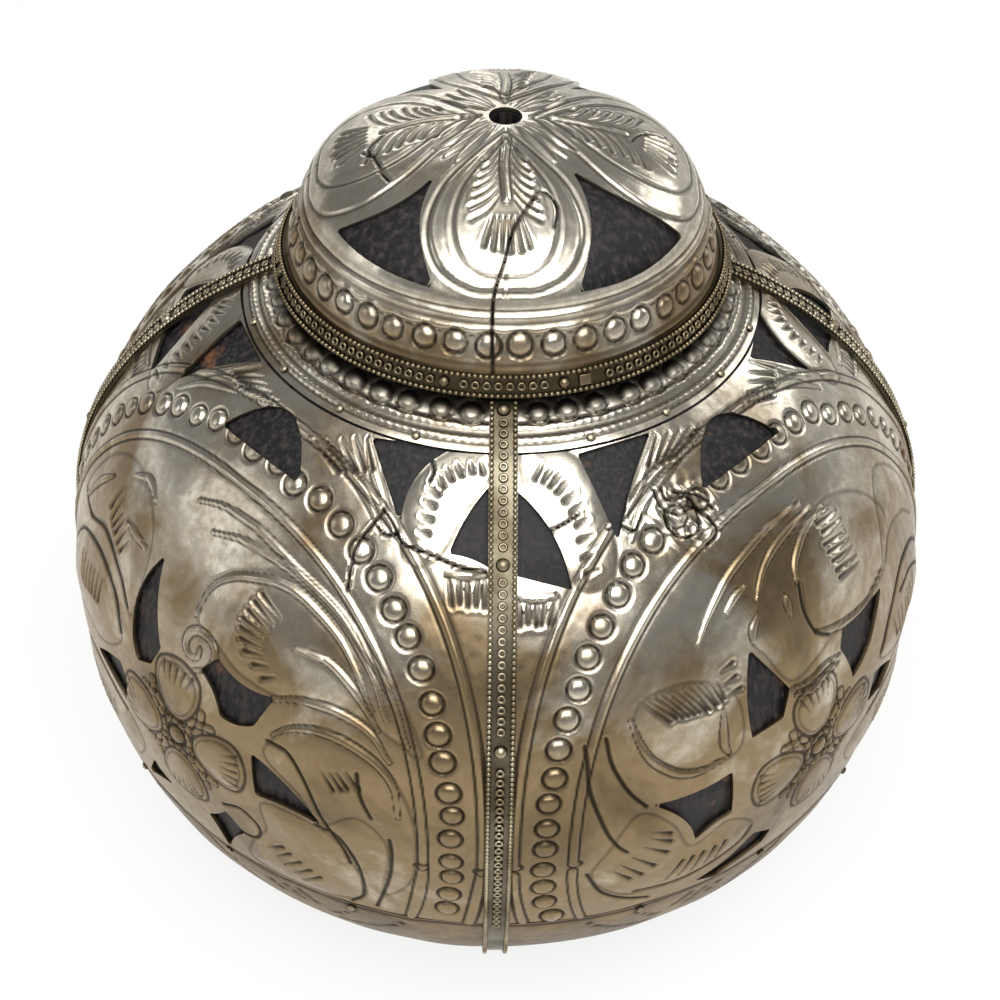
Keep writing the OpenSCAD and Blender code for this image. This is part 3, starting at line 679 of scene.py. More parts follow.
# the one at the front right, repeated at the back left
leafAndComb = {
    "openings": [
        [(-12.5, 25.9, 0.08), (-15.2, 14.5, 0), (-10, 14.8, 0), (-8.2, 18.4, 0)],
        [(3.2, 20.4, 0), (2.1, 18.1, -0.05), (4.3, 11.9, 0.05), (9.3, 14.1, 0), (14.3, 19.5, 0)],
        [(10.7, 7.7, 0), (9.6, 2.7, 0), (14.3, 1.3, 0), (17.5, 3.8, 0.05)],
        [(-29.6, 9.9, -0.1), (-23.6, -0.5, -0.1), (-18.6, 2.4, 0), (-18.6, 10.6, -0.05)],
        [(-22.1, -11.9, 0), (-18.6, -13.4, 0), (-11.2, -10.8, 0), (-10, -8.4, 0), (-13.6, -6.2, -0.06)],
    ],
    "flower": (-3.2, 5.0),
    "turn": 4,
    "lobes": [
        [(-7.6, 19.2), (-10.4, 24), (-11.4, 27), (-6, 31.6), (1, 33.8), (9, 34), (16, 31),
         (20, 26), (16.6, 21), (9, 20.4), (3, 21.2), (-2, 20)],
        [(-17, 14.2), (-22, 13.2), (-27, 15.4), (-29.4, 20), (-27.6, 24.4), (-21, 25), (-16.2, 21.4)],
        [(-31, 8.8), (-34.6, 3), (-36.4, -3), (-32, -8.8), (-24, -9.4), (-16, -6.2), (-14.6, -2.6),
         (-19, 1), (-24, -1.6), (-27, 5)],
        [(12.2, 9.4), (16, 14), (22, 17.4), (29, 15.6), (34, 9.4), (36.4, 1), (30, 2.6),
         (24, 5.4), (18.6, 5.4)],
        [(10.4, -0.6), (16, 0.4), (23, 0), (29, -4), (32.6, -10.4), (25, -12.4), (15, -12.4),
         (9.4, -10.6), (5.6, -4.4)],
        [(16, 21.8), (21, 23.4), (27, 21.4), (31, 18), (30, 24), (25, 29), (20.4, 29.6)],
    ],
    "ridges": [
        [(-18.6, 28.7), (-16.4, 30.7), (-13.9, 32.4), (-10.8, 34), (-6.4, 35.2), (-1.4, 35.9), (4, 35.8)],
        [(-13.6, 30.7), (-11.6, 31.7), (-9.5, 32.3)],
        [(-8.9, 30.4), (-6.4, 32.5), (-3.2, 33.9), (1.1, 34.6), (5.5, 34.7)],
        [(-2.3, 29.6), (-1.4, 31.3), (0.5, 32.5), (3, 33.4), (7.4, 33.8)],
        [(-11.7, 26.4), (-10.9, 27.8), (-9.5, 28.9)],
        [(-5.1, 27), (-4.9, 28.2), (-4.7, 29.2)],
        [(-29.4, 22.6), (-29.3, 19.8), (-28.6, 17), (-27, 14.8), (-25.4, 13.5), (-23.2, 12.9),
         (-20.4, 13.3), (-18.8, 13.7)],
        [(-18.4, 20.4), (-19, 18), (-19.4, 15.8), (-18.8, 13.8)],
        [(-7.9, 18.2), (-4.5, 17.4), (-1.4, 17.9), (1.8, 17.5)],
        [(-7.4, 17), (-4.4, 16.2), (-1.4, 16.8), (1.4, 16.4)],
        [(-2, 23.2), (0.5, 22), (4.2, 20.9), (9.9, 20.3), (15.4, 21.4)],
    ],
    "grooves": [
        [(-2, 29.5), (-2.9, 26.4), (-2, 23.3), (0.4, 21.4)],
        [(-32.6, 21), (-32.9, 18), (-32.6, 15.6), (-31.7, 12.6), (-30.1, 9.8)],
        [(-35, 20.4), (-35.9, 14), (-35.1, 7.6), (-33.9, 3.9), (-32.6, 2)],
        [(-37, -1.8), (-35.1, -6.8), (-32, -9.9), (-28.6, -11.8)],
        [(36, 12), (37.4, 4), (37, -4), (34.4, -11)],
        [(20, 14.4), (25, 14), (30, 10.4), (33.6, 4)],
        [(12.4, 9.8), (16.4, 14.2), (22, 17.2), (29, 15.4), (33.6, 9.4)],
        [(-14.6, -3.6), (-16.6, -6.6), (-24, -9.4), (-31, -8.6)],
        [(10.6, -0.8), (16, 0.2), (23, -0.2), (29, -4), (32.4, -10)],
        [(14.4, 1.2), (20, 4.6), (27, 3.6), (33.6, -1)],
    ],
    "combs": [
        ([(-27.6, 24.6), (-22.6, 24.4), (-18.2, 24)],
         [(-25.2, 21.5), (-21, 21.2), (-17.6, 21.6)], 12),
        ([(-17.4, 25.1), (-17.4, 21.8)], [(-15.1, 25.3), (-15.1, 21.9)], 3),
        ([(9.4, 32.4), (9.6, 26)], [(5.2, 33), (5, 26.4)], 7),
        ([(-34.2, -1.8), (-32.4, 0.4), (-30.2, 3), (-29.6, 5)],
         [(-32, -4.6), (-29.4, -3.4), (-27.2, 0), (-27, 3.4)], 6),
        ([(-27, -8), (-20, -7)], [(-25, -4.4), (-19, -3.4)], 5),
        ([(16.8, 12), (26, 12.4)], [(18.4, 8.2), (25.6, 8)], 7),
        ([(14, -2.4), (24, -3.6)], [(14.6, -6.4), (22.6, -7.6)], 7),
    ],
    "seed": 23,
}

# what stands between two medallions, seen along the seam from above; the same at all four seams
betweenMedallions = {
    "openings": [
        [(-16.2, 9.8, 0), (-12.4, -1, -0.15), (-6.2, 8.4, 0)],
        [(9, 7.9, 0), (14, -2.7, -0.03), (18.2, 10.8, 0)],
        [(-0.6, 4.9, 0.06), (-6.5, -4.4, -0.07), (-1.4, -6.2, 0), (8.4, -8.6, 0.11)],
    ],
    "crown": [(-8, -1.2, 0), (7.5, -1.2, 0.42)],
    "lobes": [
        [(-1.6, 8.6), (-6.6, 8), (-10.8, 4.4), (-12.4, 0), (-12.2, -4.6), (-9.8, -6), (-7.2, -4.2),
         (-4.6, 0.6), (-1.4, 5)],
        [(2, 9), (6, 8.8), (9.6, 7), (12.2, 2.2), (13.8, -3.4), (13.2, -7.6), (9.4, -8.6),
         (6, -3), (3, 1.4)],
    ],
    "ridges": [
        [(-24, 9.6), (-19, 5.6), (-16.4, 2), (-14.6, -2)],
        [(-16.6, 9.6), (-15.6, 5), (-14, 0.6)],
        [(25, 11.6), (20.4, 6), (17.4, 2), (15.6, -2.6)],
        [(18.6, 10.4), (17, 5), (15, 0.4)],
        [(-6.8, -6.8), (-4, -6.9), (-1.8, -6.8)],
        [(1.8, -9.4), (4, -9.6), (6.6, -9.2)],
    ],
    "combs": [
        ([(-2.6, 6.8), (-6.6, 6.2), (-9.4, 3), (-10.4, -1.8)],
         [(-2.4, 5.4), (-5.8, 4.8), (-8, 2.2), (-9, -2)], 9),
        ([(4.6, 6.6), (8, 4.6), (10.4, 0), (11.8, -6)],
         [(3.8, 4.8), (6.6, 3.2), (8.8, -1), (10, -6.6)], 10),
        ([(-23.4, 9.4), (-16.8, 9.8)], [(-20.4, 5.8), (-16, 6)], 5),
        ([(19.2, 10.4), (24.8, 11.8)], [(18, 6.6), (21.4, 7.8)], 5),
        ([(-6.4, -7.4), (-2, -7.4)], [(-6, -10.4), (-2.2, -10.6)], 5),
        ([(2, -10), (6.4, -9.8)], [(2.2, -13), (5.8, -12.8)], 5),
    ],
}

# the dotted border round a medallion, between two raised lines
border = {
    "radius": 41.5,
    "fullness": 2.2,  # 2 is a circle, more is squarer
    "centre": (0.0, 0.4),
    "pitch": 4.1,
    "dotRadius": 1.5,
    "dotRise": 0.5,
    "dotShift": 0.16,  # how far the hand strays
    "dotSizes": (0.94, 1.04),
    "dotRises": (0.75, 1.0),
    "lines": (  # how far off the dots' line, and the tool's width and rise
        (3.0, 0.42, 0.3),
        (-2.9, 0.38, 0.28),
    ),
    "lineGrime": 0.7,
    "lineReach": 46.2,
    "lowest": -12.0,
}


def borderLine(off, count=240):
    a = np.linspace(0, 2 * np.pi, count)
    share = 2 / border["fullness"]
    r = border["radius"] + off
    u = r * np.sign(np.cos(a)) * np.abs(np.cos(a)) ** share
    v = r * np.sign(np.sin(a)) * np.abs(np.sin(a)) ** share
    return np.stack([u + border["centre"][0], v + border["centre"][1]], -1)


def evenPoints(line, pitch):
    steps = np.linalg.norm(np.diff(line, axis=0), axis=1)
    run = np.concatenate([[0], np.cumsum(steps)])
    count = int(round(run[-1] / pitch))
    spots = (np.arange(count) + 0.5) * run[-1] / count
    return np.stack([np.interp(spots, run, line[:, k]) for k in range(line.shape[1])], -1)


# the flower in a medallion: four petals, bent ties between them, and an eye with a collar
petalForm = {
    "out": 7.6,
    "halfLength": 4.6,
    "halfWidth": 4.4,
    "shape": [(-1, 0), (-0.75, 0.55), (0.0, 0.98), (0.72, 0.86), (1.02, 0.0), (0.72, -0.86),
              (0.0, -0.98), (-0.75, -0.55)],
    "lobe": {"rise": 0.42, "shoulder": 1.6, "dark": 0.55},
    "inset": (0.82, 0.18),  # the line inside a petal: shares of the outline and of the petal's middle
    "insetLine": {"width": 0.24, "depth": 0.1, "dark": 0.35},
    "strokes": 5,
    "spread": 0.6,
    "starts": (0.2, 0.7),  # along and across the petal
    "ends": (0.72, 1.05),
    "stroke": {"width": 0.3, "depth": 0.16, "dark": 0.6},
    "tie": [(2.6, 0.9), (5.2, -0.7), (8.2, 1.2)],  # along the spoke and to its side
    "tieLine": {"width": 0.36, "rise": 0.24, "dark": 0.6},
    "eye": {"radius": 1.5, "rise": 0.45},
    "collar": 2.5,
    "collarLine": {"width": 0.35, "rise": 0.22, "dark": 0.7},
}


# a direction and the one square to it
def directions(degrees):
    a = math.radians(degrees)
    ahead = np.array([math.cos(a), math.sin(a)])
    return ahead, np.array([-ahead[1], ahead[0]])


def drawPetal(relief, flat, middle, ahead, across):
    look = petalForm
    length, width = look["halfLength"], look["halfWidth"]
    loop = smoothLoop([middle + ahead * x * length + across * y * width for x, y in look["shape"]])
    relief.lobe(flat, loop, **look["lobe"])
    closed = np.vstack([loop, loop[:1]])
    outlineShare, middleShare = look["inset"]
    inset = closed * outlineShare + middle * middleShare
    relief.groove(medallionPlace(inset), **look["insetLine"])
    for s in np.linspace(-look["spread"], look["spread"], look["strokes"]):
        ends = [middle + ahead * x * length + across * s * y * width
                for x, y in (look["starts"], look["ends"])]
        relief.stroke(medallionPlace(smoothLine(ends, 4)), **look["stroke"])


def drawFlower(relief, flat, centre, turn):
    base = np.array(centre)
    for k in range(4):
        ahead, across = directions(90 * k + turn)
        drawPetal(relief, flat, base + ahead * petalForm["out"], ahead, across)
        spoke, bend = directions(90 * k + 45 + turn)
        for side in (-1, 1):
            tie = smoothLine([base + spoke * x + bend * side * y for x, y in petalForm["tie"]], 6)
            relief.ridge(medallionPlace(tie), **petalForm["tieLine"])
    relief.dot(medallionPlace([centre])[0], **petalForm["eye"])
    relief.ridge(medallionPlace(circle(centre, petalForm["collar"])), **petalForm["collarLine"])


# tears and creases of the two front panels, seen along the front seam from above
frontWear = {
    "leftPanel": [
        [(-14.5, 1.0), (-13.4, -0.6), (-12.7, -2.0), (-12.0, -3.2), (-9.0, -4.4), (-5.0, -6.0),
         (-2.0, -6.5)],
        [(-14.5, 0.6), (-16.2, -1.4), (-17.5, -3.2), (-18.4, -6.0), (-18.8, -9.0)],
        [(-12.7, -2.0), (-14.2, -2.2), (-15.2, -1.2)],
        [(-9.4, 8.6), (-8.4, 5.8), (-8.9, 4.4)],
    ],
    "rightPanel": [
        [(18.4, 3.6), (19.6, 1.4), (21.6, 0.6), (23.4, 1.6), (25.4, 0.4), (26.6, -1.6), (25.2, -3.2)],
        [(19.4, 3.9), (20.2, 2.4), (22.8, 2.8), (24.4, -0.6), (22.6, -2.2), (20.6, -1.4), (19.8, 0.4)],
        [(21.0, 3.4), (24.0, 3.0), (26.4, 1.4)],
        [(12.6, -1.2), (14.4, -0.8), (16.0, -1.4), (17.0, 0.6)],
        [(3.4, -1.0), (5.6, -1.4), (7.4, -0.6), (9.2, 0.6)],
    ],
    "tear": {"width": 0.2, "depth": 0.24, "dark": 1.0},
    "crumple": (22.6, 0.8, 4.2),  # middle and reach of the crushed spot
    "crumpleHeight": 0.3,
    "crumpleGrime": 0.7,
    "crumpleFolds": (2.7, 1.4, 1.9, 2.3),  # how closely they follow each other, and how they bend
}


def wearSheet(relief, seamAz):
    for line in frontWear["leftPanel" if seamAz > 0 else "rightPanel"]:
        relief.groove(seamPlace(smoothLine(line), seamAz), **frontWear["tear"])
    if seamAz < 0:
        u, w, reach = frontWear["crumple"]
        x, y = toSeam(relief.points, seamAz).T
        near = np.exp(-(((x - u) ** 2 + (y - w) ** 2) / reach ** 2) ** 2)
        close, bend, bendClose, cross = frontWear["crumpleFolds"]
        folds = np.sin(x * close + bend * np.sin(y * bendClose)) * np.sin(y * cross + x)
        relief.height += frontWear["crumpleHeight"] * near * folds
        dirt = frontWear["crumpleGrime"] * near * np.clip(-folds, 0, 1)
        relief.grimeAndShade = np.maximum(relief.grimeAndShade, dirt)


# the tools used on a medallion, and on what stands between two of them
medallionChasing = {
    "lobe": {"rise": 0.42, "shoulder": 2.4, "dark": 0.3},
    "ridge": {"width": 0.34, "rise": 0.26, "dark": 0.55, "tapered": True},
    "groove": {"width": 0.3, "depth": 0.16, "dark": 0.8},
    "stroke": {"width": 0.42, "depth": 0.26, "dark": 0.7},
    "strokeShift": 0.1,  # how far the hand strays
    "strokeSteps": 5,
}
seamChasing = {
    "lobe": {"rise": 0.4, "shoulder": 1.6, "dark": 0.4},
    "ridge": {"width": 0.32, "rise": 0.22, "dark": 0.55, "tapered": True},
    "stroke": {"width": 0.4, "depth": 0.24, "dark": 0.8},
    "strokeShift": 0.08,
    "strokeSteps": 4,
    "reach": 30,  # degrees to each side of the seam
}


def chaseCombs(relief, combs, look, place, random):
    for start, end, count in combs:
        for stroke in strokesBetween(start, end, count):
            stroke = stroke + random.normal(0, look["strokeShift"], (2, 2))
            relief.stroke(place(smoothLine(stroke, look["strokeSteps"])), **look["stroke"])


def chaseSeamSide(relief, seamAz, random):
    points = relief.points
    side = np.abs(np.degrees(np.arctan2(points[:, 0], -points[:, 1])) - seamAz) < seamChasing["reach"]
    across = np.where(side[:, None], toSeam(points, seamAz), farAway)

    def place(line):
        return seamPlace(line, seamAz)

    for loop in betweenMedallions["lobes"]:
        relief.lobe(across, smoothLoop(loop), **seamChasing["lobe"])
    for line in betweenMedallions["ridges"]:
        relief.ridge(place(smoothLine(line)), **seamChasing["ridge"])
    chaseCombs(relief, betweenMedallions["combs"], seamChasing, place, random)


def drawBorder(relief, random):
    for off, width, rise in border["lines"]:
        line = borderLine(off)
        u, v = line.T
        line = line[(v > border["lowest"] - 3) & (np.abs(u) < border["lineReach"])]
        u, v = line.T
        for part in (line[v >= 0], line[(v < 1) & (u < 0)], line[(v < 1) & (u > 0)]):
            if len(part) > 1:
                relief.ridge(medallionPlace(part), width, rise, border["lineGrime"])
    for spot in evenPoints(borderLine(0), border["pitch"]):
        if spot[1] < border["lowest"]:
            continue
        spot = spot + random.normal(0, border["dotShift"], 2)
        radius = border["dotRadius"] * random.uniform(*border["dotSizes"])
        rise = border["dotRise"] * random.uniform(*border["dotRises"])
        relief.dot(medallionPlace([spot])[0], radius, rise)


def medallionRelief(points, design, wornSeam):
    relief = Relief(points)
    flat = toMedallion(points)
    random = np.random.default_rng(design["seed"])
    for loop in design["lobes"]:
        relief.lobe(flat, smoothLoop(loop), **medallionChasing["lobe"])
    drawFlower(relief, flat, design["flower"], design["turn"])
    for line in design["ridges"]:
        relief.ridge(medallionPlace(smoothLine(line)), **medallionChasing["ridge"])
    for line in design["grooves"]:
        relief.groove(medallionPlace(smoothLine(line)), **medallionChasing["groove"])
    chaseCombs(relief, design["combs"], medallionChasing, medallionPlace, random)
    for seamAz in (-45, 45):
        chaseSeamSide(relief, seamAz, random)
    drawBorder(relief, random)
    relief.height += beatenWaves(points, **panelForm["beaten"], seed=design["seed"])
    if wornSeam:
        wearSheet(relief, wornSeam)
    return relief


def clearSelection():
    if bpy.context.object and bpy.context.object.mode != "OBJECT":
        bpy.ops.object.mode_set(mode="OBJECT")
    bpy.ops.object.select_all(action="DESELECT")


def selectOnly(piece):
    clearSelection()
    piece.select_set(True)
    bpy.context.view_layer.objects.active = piece


def readCorners(mesh):
    corners = np.empty(len(mesh.vertices) * 3, np.float32)
    mesh.vertices.foreach_get("co", corners)
    return corners.reshape(-1, 3)


# a flat grid to be laid on the jar or the lid; returns it with its own column and row of each corner
def addSheetGrid(name, columns, rows):
    clearSelection()
    bpy.ops.mesh.primitive_grid_add(x_subdivisions=columns, y_subdivisions=rows, size=1)
    piece = bpy.context.object
    piece.name = name
    piece.data.name = name
    corners = readCorners(piece.data)
    column = np.rint((corners[:, 0] + 0.5) * columns).astype(int)
    row = np.rint((corners[:, 1] + 0.5) * rows).astype(int)
    return piece, column, row


def writeCorners(mesh, corners):
    mesh.vertices.foreach_set("co", np.ascontiguousarray(corners, np.float32).ravel())
    mesh.update()


def writeGrimeAndShade(mesh, values):
    grimeAndShade = mesh.attributes.new("grimeAndShade", "FLOAT", "POINT")
    grimeAndShade.data.foreach_set("value", values.astype(np.float32))


def faceCorners(mesh):
    total = np.empty(len(mesh.loops), np.int32)
    mesh.loops.foreach_get("vertex_index", total)
    return total


def deleteFaces(piece, chosen):
    selectOnly(piece)
    mesh = piece.data
    mesh.vertices.foreach_set("select", np.zeros(len(mesh.vertices), bool))
    mesh.edges.foreach_set("select", np.zeros(len(mesh.edges), bool))
    mesh.polygons.foreach_set("select", chosen)
    bpy.ops.object.mode_set(mode="EDIT")
    bpy.ops.mesh.select_mode(type="FACE")
    bpy.ops.object.mode_set(mode="OBJECT")
    mesh.polygons.foreach_set("select", chosen)
    bpy.ops.object.mode_set(mode="EDIT")
    bpy.ops.mesh.delete(type="FACE")
    bpy.ops.object.mode_set(mode="OBJECT")


# closes the seam of a grid that runs all the way round
def joinEnds(piece):
    selectOnly(piece)
    bpy.ops.object.mode_set(mode="EDIT")
    bpy.ops.mesh.select_all(action="SELECT")
    bpy.ops.mesh.remove_doubles(threshold=0.004 * mm)
    bpy.ops.object.mode_set(mode="OBJECT")


def thicken(piece, thickness):
    solidify = piece.modifiers.new("thickness", "SOLIDIFY")
    solidify.thickness = thickness * mm
    solidify.offset = -1
    selectOnly(piece)
    bpy.ops.object.modifier_apply(modifier=solidify.name)


# the inside of a sheet is plain, so it needs far fewer faces
def thinInside(piece, outerCorners):
    mesh = piece.data
    loops = faceCorners(mesh)
    starts = np.empty(len(mesh.polygons), np.int32)
    mesh.polygons.foreach_get("loop_start", starts)
    sides = np.empty(len(mesh.polygons), np.int32)
    mesh.polygons.foreach_get("loop_total", sides)
    inside = np.add.reduceat((loops >= outerCorners).astype(int), starts) == sides
    selectOnly(piece)
    bpy.ops.object.mode_set(mode="EDIT")
    bpy.ops.mesh.select_mode(type="FACE")
    bpy.ops.mesh.select_all(action="DESELECT")
    bpy.ops.object.mode_set(mode="OBJECT")
    mesh.polygons.foreach_set("select", inside)
    bpy.ops.object.mode_set(mode="EDIT")
    bpy.ops.mesh.decimate(ratio=sheetForm["insideShare"])
    bpy.ops.mesh.select_all(action="DESELECT")
    bpy.ops.object.mode_set(mode="OBJECT")


sheetForm = {
    "innerGap": 0.58,  # mm from the bare face to the back of the sheet
    "insideShare": 0.06,
    "insideGrime": 0.8,
    "smoothTo": math.radians(50),
}


# cuts the openings, gives the sheet its thickness and pushes its face out to the relief
def finishSheet(piece, outward, relief, cutAway=None, join=False):
    bare = relief.points
    inner = bare - outward * sheetForm["innerGap"]
    mesh = piece.data
    place = mesh.attributes.new("place", "INT", "POINT")
    place.data.foreach_set("value", np.arange(len(mesh.vertices), dtype=np.int32))
    writeCorners(mesh, bare * mm)
    if cutAway is not None:
        quads = faceCorners(mesh).reshape(-1, 4)
        deleteFaces(piece, cutAway[quads].all(1))
    if join:
        joinEnds(piece)
    mesh = piece.data
    kept = np.empty(len(mesh.vertices), np.int32)
    mesh.attributes["place"].data.foreach_get("value", kept)
    thicken(piece, jarForm["sheet"])
    mesh = piece.data
    face = bare[kept] + outward[kept] * relief.height[kept][:, None]
    writeCorners(mesh, np.vstack([face, inner[kept]]) * mm)
    insideGrime = np.full(len(kept), sheetForm["insideGrime"])
    writeGrimeAndShade(mesh, np.concatenate([np.clip(relief.grimeAndShade[kept], 0, 1), insideGrime]))
    thinInside(piece, len(kept))
    mesh = piece.data
    mesh.attributes.remove(mesh.attributes["place"])
    selectOnly(piece)
    bpy.ops.object.shade_smooth_by_angle(angle=sheetForm["smoothTo"])


# corners just inside an opening's edge move on to it, so that the cut follows the drawing
def snapToEdge(quads, flat, loop, within, bare, place):
    mixed = within[quads].any(1) & ~within[quads].all(1)
    edge = np.unique(quads[mixed])
    edge = edge[within[edge]]
    _, spot = nearestOnLoop(flat[edge], loop)
    bare[edge] = place(spot)


def dress(piece, material, body, slot, *nodes):
    piece.data.materials.clear()
    piece.data.materials.append(material)
    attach(piece, body)
    if nodes:
        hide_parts(*nodes)


panelForm = {
    "front": (366, 246),  # columns and rows of the grid
    "back": (300, 202),
    "halfWidth": 44.87,  # degrees
    "low": -13.2,
    "cutReach": 40,  # degrees to each side of a drawing's middle
    "beaten": {"amount": 0.045, "size": 11.0},
}


# every opening's outline, with the azimuth of the seam that it is drawn at, or None for the medallion's own
def panelCuts(design):
    cuts = [(bowed(corners), None) for corners in design["openings"]]
    cuts.append((bowed(betweenMedallions["crown"]), 0.0))
    for seamAz in (-45.0, 45.0):
        cuts += [(bowed(corners), seamAz) for corners in betweenMedallions["openings"]]
    return cuts


def makePanel(name, design, grid, wornSeam):
    columns, rows = grid
    piece, column, row = addSheetGrid(name, columns, rows)
    top = shoulderHeight(jarForm["collarRadius"] + jarForm["seamGap"])
    heights = evenHeights(panelForm["low"], top, rows + 1)
    az = (column / columns * 2 - 1) * panelForm["halfWidth"]
    even = jarPlace(az, heights[row])
    bare = even.copy()
    inside = np.zeros(len(bare), bool)
    quads = faceCorners(piece.data).reshape(-1, 4)
    for loop, seamAz in panelCuts(design):
        if seamAz is None:
            flat, middle, place = toMedallion(even), 0.0, medallionPlace
        else:
            flat, middle, place = toSeam(even, seamAz), seamAz, partial(seamPlace, azimuth=seamAz)
        within = insideLoop(flat, loop) & (np.abs(az - middle) < panelForm["cutReach"])
        snapToEdge(quads, flat, loop, within, bare, place)
        inside |= within
    az = np.degrees(np.arctan2(bare[:, 0], -bare[:, 1]))
    h = bare[:, 2] - widestHeight
    outward = (jarPlace(az, h, outwardStep) - bare) / outwardStep
    finishSheet(piece, outward, medallionRelief(bare, design, wornSeam), inside)
    return piece


panels = {  # design, where its middle stands, and for a front panel which side meets the worn front seam
    "panel_front_left": (leafAndScroll, -45, 45),
    "panel_front_right": (leafAndComb, 45, -45),
    "panel_back_right": (leafAndScroll, 135, None),
    "panel_back_left": (leafAndComb, 225, None),
}
for node, (design, azimuth, wornSeam) in panels.items():
    panel = makePanel(node + "_chased", design, panelForm["front" if wornSeam else "back"], wornSeam)
    panel.data.transform(Matrix.Rotation(math.radians(azimuth), 4, "Z"))
    dress(panel, panelMetal, "jar", "white_metal", node)
print("panels made")

# the lid's outside: a leaning wall and a dome, in millimetres
lidForm = {
    "edgeRadius": 30.3,
    "domeRadius": 26.3,
    "wallHeight": 9.9,
    "domeHeight": 11.1,
    "domePower": 1.75,
    "profileSteps": (1500, 300),  # points for measuring along the dome and the wall
    "holeRadius": 2.15,
    "gapOverSeat": 0.1,
    "dots": 43,
    "dotHeight": 5.9,
    "dotShift": (0.25, 0.08),  # degrees round and mm up that the hand strays
    "dotRadius": 1.5,
    "dotSizes": (0.94, 1.05),
    "dotRise": 0.5,
    "dotRises": (0.8, 1.0),
    "lineDrops": (0.75, 2.15),  # two raised rings under the dome's edge
    "line": {"width": 0.42, "rise": 0.32, "dark": 0.6},
    "lineLow": 3.65,
    "lowLine": {"width": 0.28, "depth": 0.1, "dark": 0.5},
    "beaten": {"amount": 0.045, "size": 10.0, "seed": 7},
    "seed": 5,
}
seatHeight = shoulderHeight(jarForm["seatRadius"])
lidBase = widestHeight + seatHeight + lidForm["gapOverSeat"]
ringLine = lidBase + lidForm["wallHeight"]
wallLean = math.atan2(lidForm["edgeRadius"] - lidForm["domeRadius"], lidForm["wallHeight"])


def lidProfile():
    domeSteps, wallSteps = lidForm["profileSteps"]
    a = np.radians(np.linspace(90, 0, domeSteps))
    share = 2 / lidForm["domePower"]
    r = lidForm["domeRadius"] * np.cos(a) ** share
    z = ringLine + lidForm["domeHeight"] * np.sin(a) ** share
    wall = np.linspace(0, 1, wallSteps)[1:]
    r = np.concatenate([r, lidForm["domeRadius"] + wall * (lidForm["edgeRadius"] - lidForm["domeRadius"])])
    z = np.concatenate([z, ringLine - wall * lidForm["wallHeight"]])
    return r, z


lidR, lidZ = lidProfile()


def wallRadius(z):
    return lidForm["edgeRadius"] - (z - lidBase) * math.tan(wallLean)


def planToLid(flat):
    flat = np.asarray(flat, float)
    r = np.linalg.norm(flat, axis=1)
    return np.column_stack([flat, np.interp(r, lidR, lidZ)])


def onWall(az, z, off=0.0):
    a = np.radians(az)
    r = wallRadius(z) + off * math.cos(wallLean)
    z = z + off * math.sin(wallLean)
    return np.stack([r * np.sin(a), -r * np.cos(a), z * np.ones_like(a)], -1)


# surface of turning: a grid wrapped round the axis along a profile, its outward direction too
def turnedGrid(column, row, columns, r, z, warp=None):
    share = column / columns
    a = np.radians(360 * (share if warp is None else warp(share)) - 180)
    dr = np.gradient(r)
    dz = np.gradient(z)
    size = np.hypot(dr, dz)
    outR, outZ = -dz / size, dr / size
    place = np.stack([r[row] * np.sin(a), -r[row] * np.cos(a), z[row]], -1)
    outward = np.stack([outR[row] * np.sin(a), -outR[row] * np.cos(a), outZ[row]], -1)
    return place, outward


def evenProfile(r, z, count):
    run = np.concatenate([[0], np.cumsum(np.hypot(np.diff(r), np.diff(z)))])
    spots = np.linspace(0, run[-1], count)
    return np.interp(spots, run, r), np.interp(spots, run, z)


# petals seen from above, the front one pointing to -Y; those at the sides are wider
lidPetals = {
    "openings": (
        [(8.0, -9.7, -0.13), (8.8, -24.3, 0.1), (22.2, -12.8, -0.07)],
        [(8.3, -10.2, -0.14), (8.6, -24.2, 0.09), (21.0, -13.6, -0.17)],
    ),
    "widths": (1.0, 1.3, 1.0, 1.3),
    "outlines": (  # half width, inner end, outer end, depth of the line
        (9.5, 3.4, 25.5, 0.16),
        (6.4, 5.2, 24.3, 0.13),
    ),
    "outlineGrime": 0.55,
    "outlineWidth": 0.3,
    "lobe": {"rise": 0.35, "shoulder": 3.0, "dark": 0.15},
    "lobeSize": (9.9, 3.0, 26.0),  # half width, inner end, outer end
    "midrib": (5.0, 15.4),
    "midribBend": (0.1, -0.25),  # how far its ends and its middle lie to the side
    "midribLine": {"width": 0.36, "rise": 0.24, "dark": 0.6},
    "strokes": 7,
    "strokeStart": 1.0,  # from the midrib's inner end
    "strokePitch": 1.45,
    "strokeRoot": (0.9, 0.3),  # to the side and outwards
    "strokeTip": (2.6, 3.0),
    "strokeGrowth": 0.28,  # each reaches further to the side than the one before
    "strokeBow": (0.25, 0.35),
    "handShift": (0.12, 0.15),  # how far the hand strays at a root and at a tip
    "stroke": {"width": 0.36, "depth": 0.24, "dark": 0.6},
    "fan": 6,
    "fanSpread": 34,  # degrees
    "fanRoot": (3.6, 16.4, 1.4),  # half the width of the bow that they start on, its chord and its depth
    "fanTip": (6.0, 15.4, 6.4),
    "fanStroke": {"width": 0.4, "depth": 0.26, "dark": 0.65},
    "flutes": (35, 45, 55),  # degrees from the petal's middle
    "fluteEnds": (3.0, 10.5),
    "flute": {"width": 0.42, "rise": 0.22, "dark": 0.45, "tapered": True},
}


# one side of a petal's outline, from its inner end to its outer end
def petalLoop(half, start, end):
    shape = [(0.0, 0.0), (0.42, 0.2), (0.82, 0.42), (1.0, 0.66), (0.86, 0.87), (0.45, 0.98), (0.0, 1.0)]
    return [(half * x, start + (end - start) * y) for x, y in shape]


